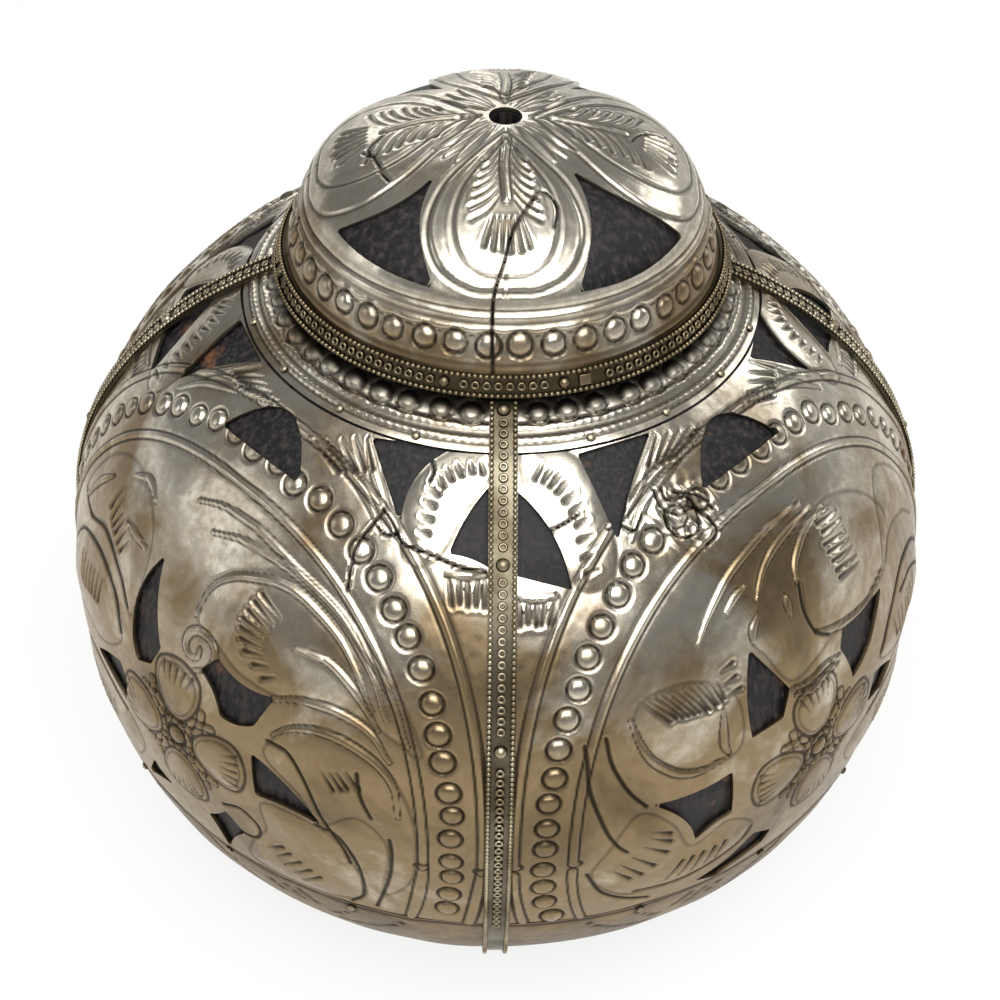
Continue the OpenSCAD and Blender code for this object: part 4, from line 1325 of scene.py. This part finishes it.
# the lines chased into one petal: its outlines, midrib, herringbone strokes and the fan at its end
def chasePetal(relief, scale, turn, random):
    def place(points, steps=8):
        return planToLid(smoothLine(points, steps) @ turn.T)

    width, dark = lidPetals["outlineWidth"], lidPetals["outlineGrime"]
    for half, start, end, depth in lidPetals["outlines"]:
        side = petalLoop(half * scale, start, end)
        for sign in (-1, 1):
            relief.groove(place([(sign * x, -y) for x, y in side]), width, depth, dark)
    low, high = lidPetals["midrib"]
    ends, bend = lidPetals["midribBend"]
    relief.ridge(place([(ends, -low), (bend, -(low + high) / 2), (ends, -high)]), **lidPetals["midribLine"])
    rootSide, rootOut = lidPetals["strokeRoot"]
    tipSide, tipOut = lidPetals["strokeTip"]
    bowSide, bowOut = lidPetals["strokeBow"]
    rootShift, tipShift = lidPetals["handShift"]
    for k in range(lidPetals["strokes"]):
        out = low + lidPetals["strokeStart"] + lidPetals["strokePitch"] * k
        reach = (tipSide + lidPetals["strokeGrowth"] * k) * scale
        for sign in (-1, 1):
            start = np.array([sign * rootSide, -out - rootOut]) + random.normal(0, rootShift, 2)
            end = np.array([sign * reach, -out - tipOut]) + random.normal(0, tipShift, 2)
            middle = (start + end) / 2 + np.array([-sign * bowSide, -bowOut])
            relief.stroke(place([start, middle, end], 5), **lidPetals["stroke"])
    for k in range(lidPetals["fan"]):
        a = math.radians(lidPetals["fanSpread"] * ((k + 0.5) / lidPetals["fan"] * 2 - 1))
        start, end = (np.array([math.sin(a) * half * scale, -chord - depth * math.cos(a)])
                      for half, chord, depth in (lidPetals["fanRoot"], lidPetals["fanTip"]))
        end = end + random.normal(0, tipShift, 2)
        relief.stroke(place([start, end], 5), **lidPetals["fanStroke"])


# the long split in the lid's front petal, and the finer cracks
lidCracks = {
    "open": [(3.2, -15.2), (0.75, -19.5), (-0.25, -23.0), (-1.5, -26.0), (-1.4, -29.4)],
    "width": 0.3,
    "crowding": (2.2, 0.5, 5.0),  # how many more columns there, its middle and width in degrees
    "warpSteps": 4001,
    "openLine": {"width": 0.3, "depth": 0.05, "dark": 0.9},
    "line": {"width": 0.2, "depth": 0.2, "dark": 1.0},
    "lines": [
        [(3.2, -15.2), (3.9, -13.9), (5.2, -14.2), (6.2, -16), (5.8, -18.5)],
        [(-15.6, -1.2), (-17.2, -3.4), (-16.2, -5.6), (-15.2, -8.6), (-14.4, -10)],
        [(-16.6, -5.2), (-17.8, -3.8)],
        [(18.8, 2.6), (17, 0.6), (16, -1.4)],
        [(-26.3, -4.2), (-28.2, -5.2), (-29.6, -6.2)],
    ],
}
lidGrid = {"columns": 500, "rows": 112}


# columns stand closer together at the front, where the crack is
def crackWarp(share):
    more, middle, width = lidCracks["crowding"]
    fine = np.linspace(0, 1, lidCracks["warpSteps"])
    density = 1 + more * bell((fine - 0.5) * 360, middle, width)
    run = np.concatenate([[0], np.cumsum((density[1:] + density[:-1]) / 2)])
    return np.interp(share, run / run[-1], fine)


def lidCuts():
    front, other = (bowed(corners) for corners in lidPetals["openings"])
    mirrored = other[::-1] * (-1, 1)
    crack = np.array(lidCracks["open"])
    half = (lidCracks["width"] / 2, 0)
    return front, mirrored, -front, -mirrored, np.vstack([crack - half, crack[::-1] + half])


def lidRelief(bare):
    relief = Relief(bare)
    random = np.random.default_rng(lidForm["seed"])
    for k, scale in enumerate(lidPetals["widths"]):
        a = math.radians(90 * k)
        turn = np.array([[math.cos(a), -math.sin(a)], [math.sin(a), math.cos(a)]])
        flat = bare[:, :2] @ turn  # back to the front petal's place
        half, start, end = lidPetals["lobeSize"]
        side = petalLoop(half * scale, start, end)
        loop = smoothLoop([(x, -y) for x, y in side] + [(-x, -y) for x, y in side[-2:0:-1]])
        relief.lobe(flat, loop, **lidPetals["lobe"])
        chasePetal(relief, scale, turn, random)
        for b in lidPetals["flutes"]:
            c = math.radians(b)
            flute = np.array([[out * math.sin(c), -out * math.cos(c)] for out in lidPetals["fluteEnds"]])
            relief.ridge(planToLid(smoothLine(flute) @ turn.T), **lidPetals["flute"])
    around = np.linspace(-180, 180, 181)
    for drop in lidForm["lineDrops"]:
        relief.ridge(onWall(around, np.full(len(around), ringLine - drop)), **lidForm["line"])
    lineHeight = np.full(len(around), lidBase + lidForm["lineLow"])
    relief.groove(onWall(around, lineHeight), **lidForm["lowLine"])
    shiftRound, shiftUp = lidForm["dotShift"]
    for k in range(lidForm["dots"]):
        az = 360 * (k + 0.5) / lidForm["dots"] + random.normal(0, shiftRound)
        height = lidBase + lidForm["dotHeight"] + random.normal(0, shiftUp)
        radius = lidForm["dotRadius"] * random.uniform(*lidForm["dotSizes"])
        rise = lidForm["dotRise"] * random.uniform(*lidForm["dotRises"])
        relief.dot(onWall(np.array([az]), np.array([height]))[0], radius, rise)
    relief.groove(planToLid(smoothLine(lidCracks["open"])), **lidCracks["openLine"])
    for line in lidCracks["lines"]:
        relief.groove(planToLid(smoothLine(line)), **lidCracks["line"])
    relief.height += beatenWaves(bare, **lidForm["beaten"])
    return relief


def makeLidSheet():
    columns, rows = lidGrid["columns"], lidGrid["rows"]
    piece, column, row = addSheetGrid("lidSheetChased", columns, rows)
    hole = lidForm["holeRadius"]
    keep = lidR >= hole
    r = np.concatenate([[hole], lidR[keep]])
    z = np.concatenate([[np.interp(hole, lidR, lidZ)], lidZ[keep]])
    r, z = evenProfile(r, z, rows + 1)
    # the grid's rows run from the lower edge up, so that its faces look outwards
    even, outward = turnedGrid(column, rows - row, columns, r, z, crackWarp)
    bare = even.copy()
    inside = np.zeros(len(bare), bool)
    quads = faceCorners(piece.data).reshape(-1, 4)
    for loop in lidCuts():
        within = insideLoop(even[:, :2], loop)
        snapToEdge(quads, even[:, :2], loop, within, bare, planToLid)
        inside |= within
    finishSheet(piece, outward, lidRelief(bare), inside, join=True)
    dress(piece, lidMetal, "lid", "white_metal", "lid_sheet")


makeLidSheet()
print("lid sheet made")


collarForm = {
    "columns": 560,
    "rows": 34,
    "innerRadius": 26.0,
    "lines": (32.6, 34.1),  # radius
    "line": {"width": 0.4, "rise": 0.3, "dark": 0.65},
    "nickPitch": 1.1,
    "nickLean": 0.9,  # degrees
    "nickHalf": 0.35,
    "nick": {"width": 0.16, "depth": 0.12, "dark": 0.4},
    "dots": 48,
    "dotsAt": 30.8,
    "dotShift": 0.25,  # degrees that the hand strays
    "dotRadius": 1.45,
    "dotSizes": (0.93, 1.05),
    "dotRise": 0.6,
    "dotRises": (0.8, 1.0),
    "beaten": {"amount": 0.03, "size": 9.0, "seed": 9},
    "lidEdgeShade": (31.8, 1.3, 0.85),  # painted shade along the lid's edge: radius where it ends, its fade, its share
    "seed": 3,
}


def collarRelief(bare):
    relief = Relief(bare)
    random = np.random.default_rng(collarForm["seed"])
    around = np.linspace(-180, 180, 241)
    for r in collarForm["lines"]:
        relief.ridge(jarPlace(around, np.full(len(around), shoulderHeight(r))), **collarForm["line"])
        count = int(2 * math.pi * r / collarForm["nickPitch"])
        half = collarForm["nickHalf"]
        heights = np.array([shoulderHeight(r - half), shoulderHeight(r + half)])
        for k in range(count):  # the lines are nicked like a rope
            a = 360 * k / count
            nick = jarPlace(np.array([a, a + collarForm["nickLean"]]), heights)
            relief.groove(nick, **collarForm["nick"])
    height = np.array([shoulderHeight(collarForm["dotsAt"])])
    for k in range(collarForm["dots"]):
        if k % (collarForm["dots"] // 4):
            a = 360 * k / collarForm["dots"] + random.normal(0, collarForm["dotShift"])
            radius = collarForm["dotRadius"] * random.uniform(*collarForm["dotSizes"])
            rise = collarForm["dotRise"] * random.uniform(*collarForm["dotRises"])
            relief.dot(jarPlace(np.array([a]), height)[0], radius, rise)
    relief.height += beatenWaves(bare, **collarForm["beaten"])
    # painted shade: the collar is darkened where the lid's edge overhangs it
    end, fade, share = collarForm["lidEdgeShade"]
    underLid = np.clip((end - np.hypot(bare[:, 0], bare[:, 1])) / fade, 0, 1)
    relief.grimeAndShade = np.maximum(relief.grimeAndShade, share * underLid)
    return relief


def makeCollar():
    columns, rows = collarForm["columns"], collarForm["rows"]
    piece, column, row = addSheetGrid("shoulderCollarChased", columns, rows)
    low, high = shoulderHeight(jarForm["collarRadius"]), shoulderHeight(collarForm["innerRadius"])
    h = evenHeights(low, high, rows + 1)
    az = column / columns * 360 - 180
    bare = jarPlace(az, h[row])
    outward = (jarPlace(az, h[row], outwardStep) - bare) / outwardStep
    finishSheet(piece, outward, collarRelief(bare), join=True)
    dress(piece, panelMetal, "jar", "white_metal", "shoulder_collar")


makeCollar()
print("collar made")


bowlForm = {
    "columns": 340,
    "rows": 76,
    "footGap": 0.6,
    "footFade": (0.1, 6.0),  # height where the relief starts, and over how much it grows to its full
    "edgeDrop": 0.7,
    "edgeLine": {"width": 0.25, "depth": 0.05, "dark": 0.5},
    "beaten": {"amount": 0.07, "size": 12.0, "seed": 31},
    "line": {"width": 0.34, "depth": 0.14, "dark": 0.7},
    "lines": (  # degrees from a medallion's middle and height, chased on below the panels' edge
        [(34, -13.8), (33, -17), (29, -20.5), (24, -22.5)],
        [(27, -14), (26.6, -17), (24, -20)],
        [(19, -15.4), (21.6, -18.6)],
        [(17, -16), (19.4, -19.2)],
        [(15, -16.4), (17.2, -19.6)],
        [(5, -15), (9, -18), (14, -22)],
    ),
}


def makeBowl():
    columns, rows = bowlForm["columns"], bowlForm["rows"]
    piece, column, row = addSheetGrid("baseBowlBeaten", columns, rows)
    lowest = footHeight(jarForm["standRadius"] + bowlForm["footGap"])
    h = evenHeights(lowest, jarForm["bowlEdge"], rows + 1)
    r, z = jarRadius(h), h + widestHeight
    bare, outward = turnedGrid(column, row, columns, r, z)
    outward = -outward
    relief = Relief(bare)
    start, span = bowlForm["footFade"]
    fade = np.clip((bare[:, 2] - start) / span, 0, 1)
    around = np.linspace(-180, 180, 181)
    edge = np.full(len(around), jarForm["bowlEdge"] - bowlForm["edgeDrop"])
    relief.groove(jarPlace(around, edge), **bowlForm["edgeLine"])
    for middle in (-135, -45, 45, 135):
        for line in bowlForm["lines"]:
            points = smoothLine(line)
            for side in (-1, 1):
                chased = jarPlace(middle + side * points[:, 0], points[:, 1])
                relief.groove(chased, **bowlForm["line"])
    relief.height = (relief.height + beatenWaves(bare, **bowlForm["beaten"])) * fade
    finishSheet(piece, outward, relief, join=True)
    dress(piece, bowlMetal, "jar", "white_metal", "base_bowl")


makeBowl()
print("base bowl made")


strip = {
    "width": 3.5,
    "topRadius": 29.5,
    "lowRadius": 28.0,
    "under": 0.05,
    "ribbon": 0.4,
    "ribbonGrid": (6, 150),
    "edgeRibbonGrid": (300, 4),
    "ribbonGrime": 0.62,
    "footGrime": (1.15, 1.6),  # grime at a bead's foot, and how fast it fades towards the top
    "bead": 0.65,
    "beadShape": (1.0, 1.12, 0.95),
    "beadPitch": 0.72,
    "beadLift": 0.26,
    "ring": 1.25,
    "ringTube": 0.2,
    "ringPitch": 1.4,
    "ringLift": 0.2,
    "ringsEnd": -13.2,
    "pinPlaces": (1.2, 20.5, 43.5),  # from the strip's upper end
    "pin": 1.75,
    "pinRise": 0.8,
    "pinFoot": 0.02,
    "tack": 1.2,
    "tackRise": 0.4,
    "tacksInQuarter": 4,
    "tackPitch": 18,  # degrees
    "tackInsets": (0.8, 1.4),  # from the collar's rim and from the bowl's edge
    "edgeHeight": 2.87,
    "edgePins": (-14, 14, 104, 194, 284),  # degrees
    "edgePin": 1.5,
    "lapAz": 19,
    "lapHalf": 2.4,  # degrees
    "lapWidth": 1.5,
    "lapThickness": 0.45,
    "lapInset": 0.2,
    "lapBevel": 0.1,
    "lapLift": 0.27,
    "smoothTo": math.radians(40),
}
probe = {"along": 0.1, "turn": 0.2, "out": 0.3, "tackOut": 0.4}  # steps for measuring directions
stripTop = strip["under"] + strip["ribbon"]


# many copies of one small shape in a single mesh; each has its place and its three directions
def scatter(name, template, places, frames):
    corners = readCorners(template.data)
    faces = [list(face.vertices) for face in template.data.polygons]
    total = np.einsum("nij,kj->nki", frames, corners) + places[:, None, :]
    allFaces = [[i + k * len(corners) for i in face] for k in range(len(places)) for face in faces]
    whole = bpy.data.meshes.new(name)
    whole.from_pydata((total.reshape(-1, 3) * mm).tolist(), [], allFaces)
    piece = bpy.data.objects.new(name, whole)
    bpy.context.scene.collection.objects.link(piece)
    # grime fills the foot of each shape and fades out towards its top
    low = corners[:, 2].min()
    most, fade = strip["footGrime"]
    share = np.clip(most - fade * (corners[:, 2] - low) / max(np.ptp(corners[:, 2]), 1e-6), 0, 1)
    writeGrimeAndShade(whole, np.tile(share, len(places)))
    selectOnly(piece)
    bpy.ops.object.shade_smooth()
    return piece


# the same for several rows of places
def scatterAll(name, template, rows):
    places = np.vstack([place for place, _ in rows])
    return scatter(name, template, places, np.concatenate([frames for _, frames in rows]))


def addBead():
    clearSelection()
    bpy.ops.mesh.primitive_uv_sphere_add(segments=7, ring_count=5, radius=strip["bead"] / 2)
    bead = bpy.context.object
    bpy.ops.transform.resize(value=strip["beadShape"])
    bpy.ops.object.transform_apply(location=False, rotation=False, scale=True)
    return bead


def addRing():
    clearSelection()
    tube = strip["ringTube"]
    bpy.ops.mesh.primitive_torus_add(major_radius=strip["ring"] / 2 - tube, minor_radius=tube,
                                     major_segments=11, minor_segments=5)
    return bpy.context.object


def addPin(width, rise):
    clearSelection()
    bpy.ops.mesh.primitive_uv_sphere_add(segments=16, ring_count=10, radius=width / 2)
    pin = bpy.context.object
    bpy.ops.transform.resize(value=(1.0, 1.0, rise / (width / 2)))
    bpy.ops.object.transform_apply(location=False, rotation=False, scale=True)
    bpy.ops.object.mode_set(mode="EDIT")
    bpy.ops.mesh.select_all(action="SELECT")
    bpy.ops.mesh.bisect(plane_co=(0, 0, -strip["pinFoot"]), plane_no=(0, 0, 1), clear_inner=True,
                        use_fill=True)
    bpy.ops.object.mode_set(mode="OBJECT")
    return pin


# directions at a place: across, along, outward
def framesAt(along, outward):
    along = along / np.linalg.norm(along, axis=1)[:, None]
    outward = outward / np.linalg.norm(outward, axis=1)[:, None]
    return np.stack([np.cross(along, outward), along, outward], -1)


stripLow = float(footHeight(strip["lowRadius"]))
stripHigh = float(shoulderHeight(strip["topRadius"]))
seamFine = evenHeights(stripLow, stripHigh, 2000)
seamRun = np.concatenate([[0], np.cumsum(np.hypot(np.diff(jarRadius(seamFine)), np.diff(seamFine)))])


def seamPoint(s, x, off, azimuth):
    h = np.interp(s, seamRun, seamFine)
    az = np.degrees(np.arcsin(x / jarRadius(h))) + azimuth
    return jarPlace(az, h, off)


def seamSpots(s, x, off, azimuth):
    place = seamPoint(s, x, off, azimuth)
    step = probe["along"]
    along = seamPoint(s + step, x, off, azimuth) - seamPoint(s - step, x, off, azimuth)
    outward = seamPoint(s, x, off + probe["out"], azimuth) - place
    return place, framesAt(along, outward)


def addRibbon(name, columns, rows, placeAt, join=False):
    piece, column, row = addSheetGrid(name, columns, rows)
    writeCorners(piece.data, placeAt(column / columns, row / rows) * mm)
    if join:
        joinEnds(piece)
    thicken(piece, strip["ribbon"])
    writeGrimeAndShade(piece.data, np.full(len(piece.data.vertices), strip["ribbonGrime"]))
    selectOnly(piece)
    bpy.ops.object.shade_smooth_by_angle(angle=strip["smoothTo"])
    return piece


def dressStrip(piece, node):
    if node.startswith("lid"):
        dress(piece, lidWireMetal, "lid", "tarnished_filigree", node)
    else:
        dress(piece, wireMetal, "jar", "tarnished_filigree", node)


# lays one seam's ribbon, beads and rings; returns where its pins go
def addSeamStrip(word, azimuth):
    half = strip["width"] / 2
    length = seamRun[-1]

    def ribbonAt(across, along):
        return seamPoint(along * length, (across * 2 - 1) * half, stripTop, azimuth)

    dressStrip(addRibbon("seamRibbon_" + word, *strip["ribbonGrid"], ribbonAt), "seam_ribbon_" + word)
    count = int(length / strip["beadPitch"])
    s = (np.arange(count) + 0.5) * length / count
    x = half - strip["bead"] / 2
    rows = [seamSpots(s, side * x, stripTop + strip["beadLift"], azimuth) for side in (-1, 1)]
    dressStrip(scatterAll("seamBeads_" + word, bead, rows), "seam_wires_" + word)
    s = np.arange(1, int(length / strip["ringPitch"])) * strip["ringPitch"]
    pinsAt = length - np.array(strip["pinPlaces"])
    free = np.all(np.abs(pinsAt[:, None] - s) > (strip["pin"] + strip["ring"]) / 2, 0)
    free &= np.interp(s, seamRun, seamFine) > strip["ringsEnd"]
    place, frames = seamSpots(s[free], 0.0, stripTop + strip["ringLift"], azimuth)
    dressStrip(scatter("seamRings_" + word, ring, place, frames), "seam_rings_" + word)
    return seamSpots(pinsAt, 0.0, stripTop, azimuth)


bead = addBead()
ring = addRing()
pin = addPin(strip["pin"], strip["pinRise"])
edgePin = addPin(strip["edgePin"], strip["pinRise"])
tack = addPin(strip["tack"], strip["tackRise"])
seams = (("front", 0), ("right", 90), ("back", 180), ("left", 270))
pinSpots = [addSeamStrip(word, azimuth) for word, azimuth in seams]
dressStrip(scatterAll("stripPinHeads", pin, pinSpots), "strip_pins")
print("seam strips made")


# tacks along the collar's edge and the bowl's edge
def addTacks():
    steps = np.arange(1, strip["tacksInQuarter"] + 1) * strip["tackPitch"]
    az = np.concatenate([90.0 * quarter + steps for quarter in range(4)])
    collarInset, bowlInset = strip["tackInsets"]
    spots = []
    for h in (shoulderHeight(jarForm["collarRadius"] - collarInset), jarForm["bowlEdge"] - bowlInset):
        heights = np.full(len(az), h)
        place = jarPlace(az, heights, strip["under"])
        along = jarPlace(az, heights + probe["along"]) - jarPlace(az, heights - probe["along"])
        outward = jarPlace(az, heights, probe["tackOut"]) - place
        spots.append((place, framesAt(along, outward)))
    dressStrip(scatterAll("sheetTackHeads", tack, spots), "sheet_tacks")


addTacks()
print("tacks made")


# the strip round the lid's lower edge
def edgeAt(around, up):
    return onWall(around * 360 - 180, lidBase + up * strip["edgeHeight"], stripTop)


def edgeSpots(az, z, off):
    place = onWall(az, z, off)
    along = onWall(az + probe["turn"], z, off) - onWall(az - probe["turn"], z, off)
    outward = onWall(az, z, off + probe["out"]) - place
    return place, framesAt(along, outward)


def addEdgeStrip():
    dressStrip(addRibbon("lidEdgeRibbon", *strip["edgeRibbonGrid"], edgeAt, True), "lid_edge_ribbon")
    around = 2 * math.pi * lidForm["edgeRadius"]
    count = int(around / strip["beadPitch"])
    az = np.arange(count) * 360 / count
    heights = (lidBase + strip["bead"] / 2, lidBase + strip["edgeHeight"] - strip["bead"] / 2)
    rows = [edgeSpots(az, np.full(count, z), stripTop + strip["beadLift"]) for z in heights]
    dressStrip(scatterAll("lidEdgeBeads", bead, rows), "lid_edge_wires")
    count = int(around / strip["ringPitch"])
    az = np.arange(count) * 360 / count - 180
    clear = math.degrees((strip["pin"] + strip["ring"]) / 2 / lidForm["edgeRadius"])
    pinAz = np.array(strip["edgePins"], float)
    gaps = np.abs((az[:, None] - pinAz + 540) % 360 - 180)
    free = (gaps > clear).all(1) & (np.abs(az - strip["lapAz"]) > strip["lapHalf"] + clear / 2)
    heights = np.full(free.sum(), edgeMiddle)
    place, frames = edgeSpots(az[free], heights, stripTop + strip["ringLift"])
    dressStrip(scatter("lidEdgeSmallRings", ring, place, frames), "lid_edge_rings")
    place, frames = edgeSpots(pinAz, np.full(len(pinAz), edgeMiddle), stripTop)
    dressStrip(scatter("lidEdgePinHeads", edgePin, place, frames), "lid_edge_pins")


# where the edge strip's two ends lap
def addLap():
    clearSelection()
    bpy.ops.mesh.primitive_cube_add(size=1)
    lap = bpy.context.object
    lap.name = "lidEdgeLap"
    lap.data.name = "lidEdgeLap"
    height = strip["edgeHeight"] - 2 * strip["bead"] - strip["lapInset"]
    bpy.ops.transform.resize(value=(strip["lapWidth"], height, strip["lapThickness"]))
    bpy.ops.object.transform_apply(location=False, rotation=False, scale=True)
    bpy.ops.object.mode_set(mode="EDIT")
    bpy.ops.mesh.select_all(action="SELECT")
    bpy.ops.mesh.bevel(offset=strip["lapBevel"], segments=3)
    bpy.ops.object.mode_set(mode="OBJECT")
    az = np.array([float(strip["lapAz"])])
    place, frames = edgeSpots(az, np.array([edgeMiddle]), stripTop + strip["lapLift"])
    turned = Matrix([list(row) for row in frames[0][:, [1, 0, 2]] * (1, -1, 1)]).to_4x4()
    lap.data.transform(Matrix.Translation(Vector(place[0])) @ turned)
    lap.data.transform(Matrix.Scale(mm, 4))
    selectOnly(lap)
    bpy.ops.object.shade_smooth_by_angle(angle=strip["smoothTo"])
    dressStrip(lap, "lid_edge_lap")


edgeMiddle = lidBase + strip["edgeHeight"] / 2
addEdgeStrip()
addLap()
for scrap in (bead, ring, pin, edgePin, tack):
    bpy.data.objects.remove(scrap)
print("lid edge strip made")

# the wooden pot and the lid's wood keep their solids
for name, material in (("body_core", jarWood), ("lid_core", lidWood)):
    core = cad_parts[name]
    core.data.materials.clear()
    core.data.materials.append(material)
print("wood stained")


# floor, light and background
studio = {
    "floor": "#DEDCD7",
    "floorSize": 6,  # metres
    "floorDrop": 0.0003,
    "floorGlow": 0.8,  # share of plain white that the camera sees, the rest carries the shadow
    "floorGloss": 0.08,  # the same share in a reflection
    "ambient": 0.5,
    "ceiling": (0.26, 0.95),  # what a reflection shows at mid height and straight up, white at the horizon
    "ceilingHeights": (0.04, 0.2, 0.84, 0.97),  # white up to the first, then dark between the next two
    "aimHeight": 0.06,
    "lamps": {  # place in metres, size, watts
        "keyLamp": ((0.02, -0.31, 0.62), 0.6, 6.6),
        "sideLamp": ((-0.62, -0.1, 0.34), 0.3, 0.35),
        "farLamp": ((0.55, 0.3, 0.45), 0.35, 0.9),
        "backLamp": ((-0.1, 0.6, 0.4), 0.4, 1.0),
    },
}


# one value for what the camera sees, also through glass, one for reflections, one for all other light
def byRay(material, seen, mirrored, other):
    path = addNode(material, "ShaderNodeLightPath")
    direct = addNode(material, "ShaderNodeMath", {"operation": "MAXIMUM"},
                     {0: path.outputs["Is Camera Ray"], 1: path.outputs["Is Transmission Ray"]})
    plain = addMix(material, path.outputs["Is Glossy Ray"], grey(other), mirrored)
    return addMix(material, direct.outputs[0], plain, grey(seen))


def addStudio(look):
    world = bpy.data.worlds.new("studio")
    bpy.context.scene.world = world
    world.use_nodes = True
    world.node_tree.nodes.clear()
    direction = addNode(world, "ShaderNodeTexCoord").outputs["Generated"]
    up = addNode(world, "ShaderNodeSeparateXYZ", None, {"Vector": direction}).outputs["Z"]
    middle, top = look["ceiling"]
    tones = (1.0, middle, middle, top)
    room = addRamp(world, up, [(h, grey(tone)) for h, tone in zip(look["ceilingHeights"], tones)])
    strength = byRay(world, 1.0, room, look["ambient"])
    back = addNode(world, "ShaderNodeBackground", {"Color": grey(1.0)}, {"Strength": strength})
    addNode(world, "ShaderNodeOutputWorld", None, {"Surface": back.outputs[0]})
    clearSelection()
    bpy.ops.mesh.primitive_plane_add(size=look["floorSize"], location=(0, 0, -look["floorDrop"]))
    floor = bpy.context.object
    floor.name = "floor"
    bpy.ops.object.transform_apply(location=True)
    material = startMaterial("paleFloor")
    share = byRay(material, look["floorGlow"], grey(look["floorGloss"]), 0.0)
    matte = addNode(material, "ShaderNodeBsdfDiffuse", {"Color": hexColour(look["floor"])})
    glow = addNode(material, "ShaderNodeEmission", {"Color": grey(1.0), "Strength": 1.0})
    mixed = addNode(material, "ShaderNodeMixShader", None,
                    {0: share, 1: matte.outputs[0], 2: glow.outputs[0]})
    addNode(material, "ShaderNodeOutputMaterial", None, {"Surface": mixed.outputs[0]})
    floor.data.materials.append(material)
    aim = Vector((0, 0, look["aimHeight"]))
    for name, (place, size, power) in look["lamps"].items():
        data = bpy.data.lights.new(name, "AREA")
        data.size = size
        data.energy = power
        lamp = bpy.data.objects.new(name, data)
        bpy.context.scene.collection.objects.link(lamp)
        lamp.location = place
        lamp.rotation_euler = (aim - Vector(place)).to_track_quat("-Z", "Y").to_euler()


addStudio(studio)
bpy.context.scene.view_settings.view_transform = "Standard"
print("studio set")
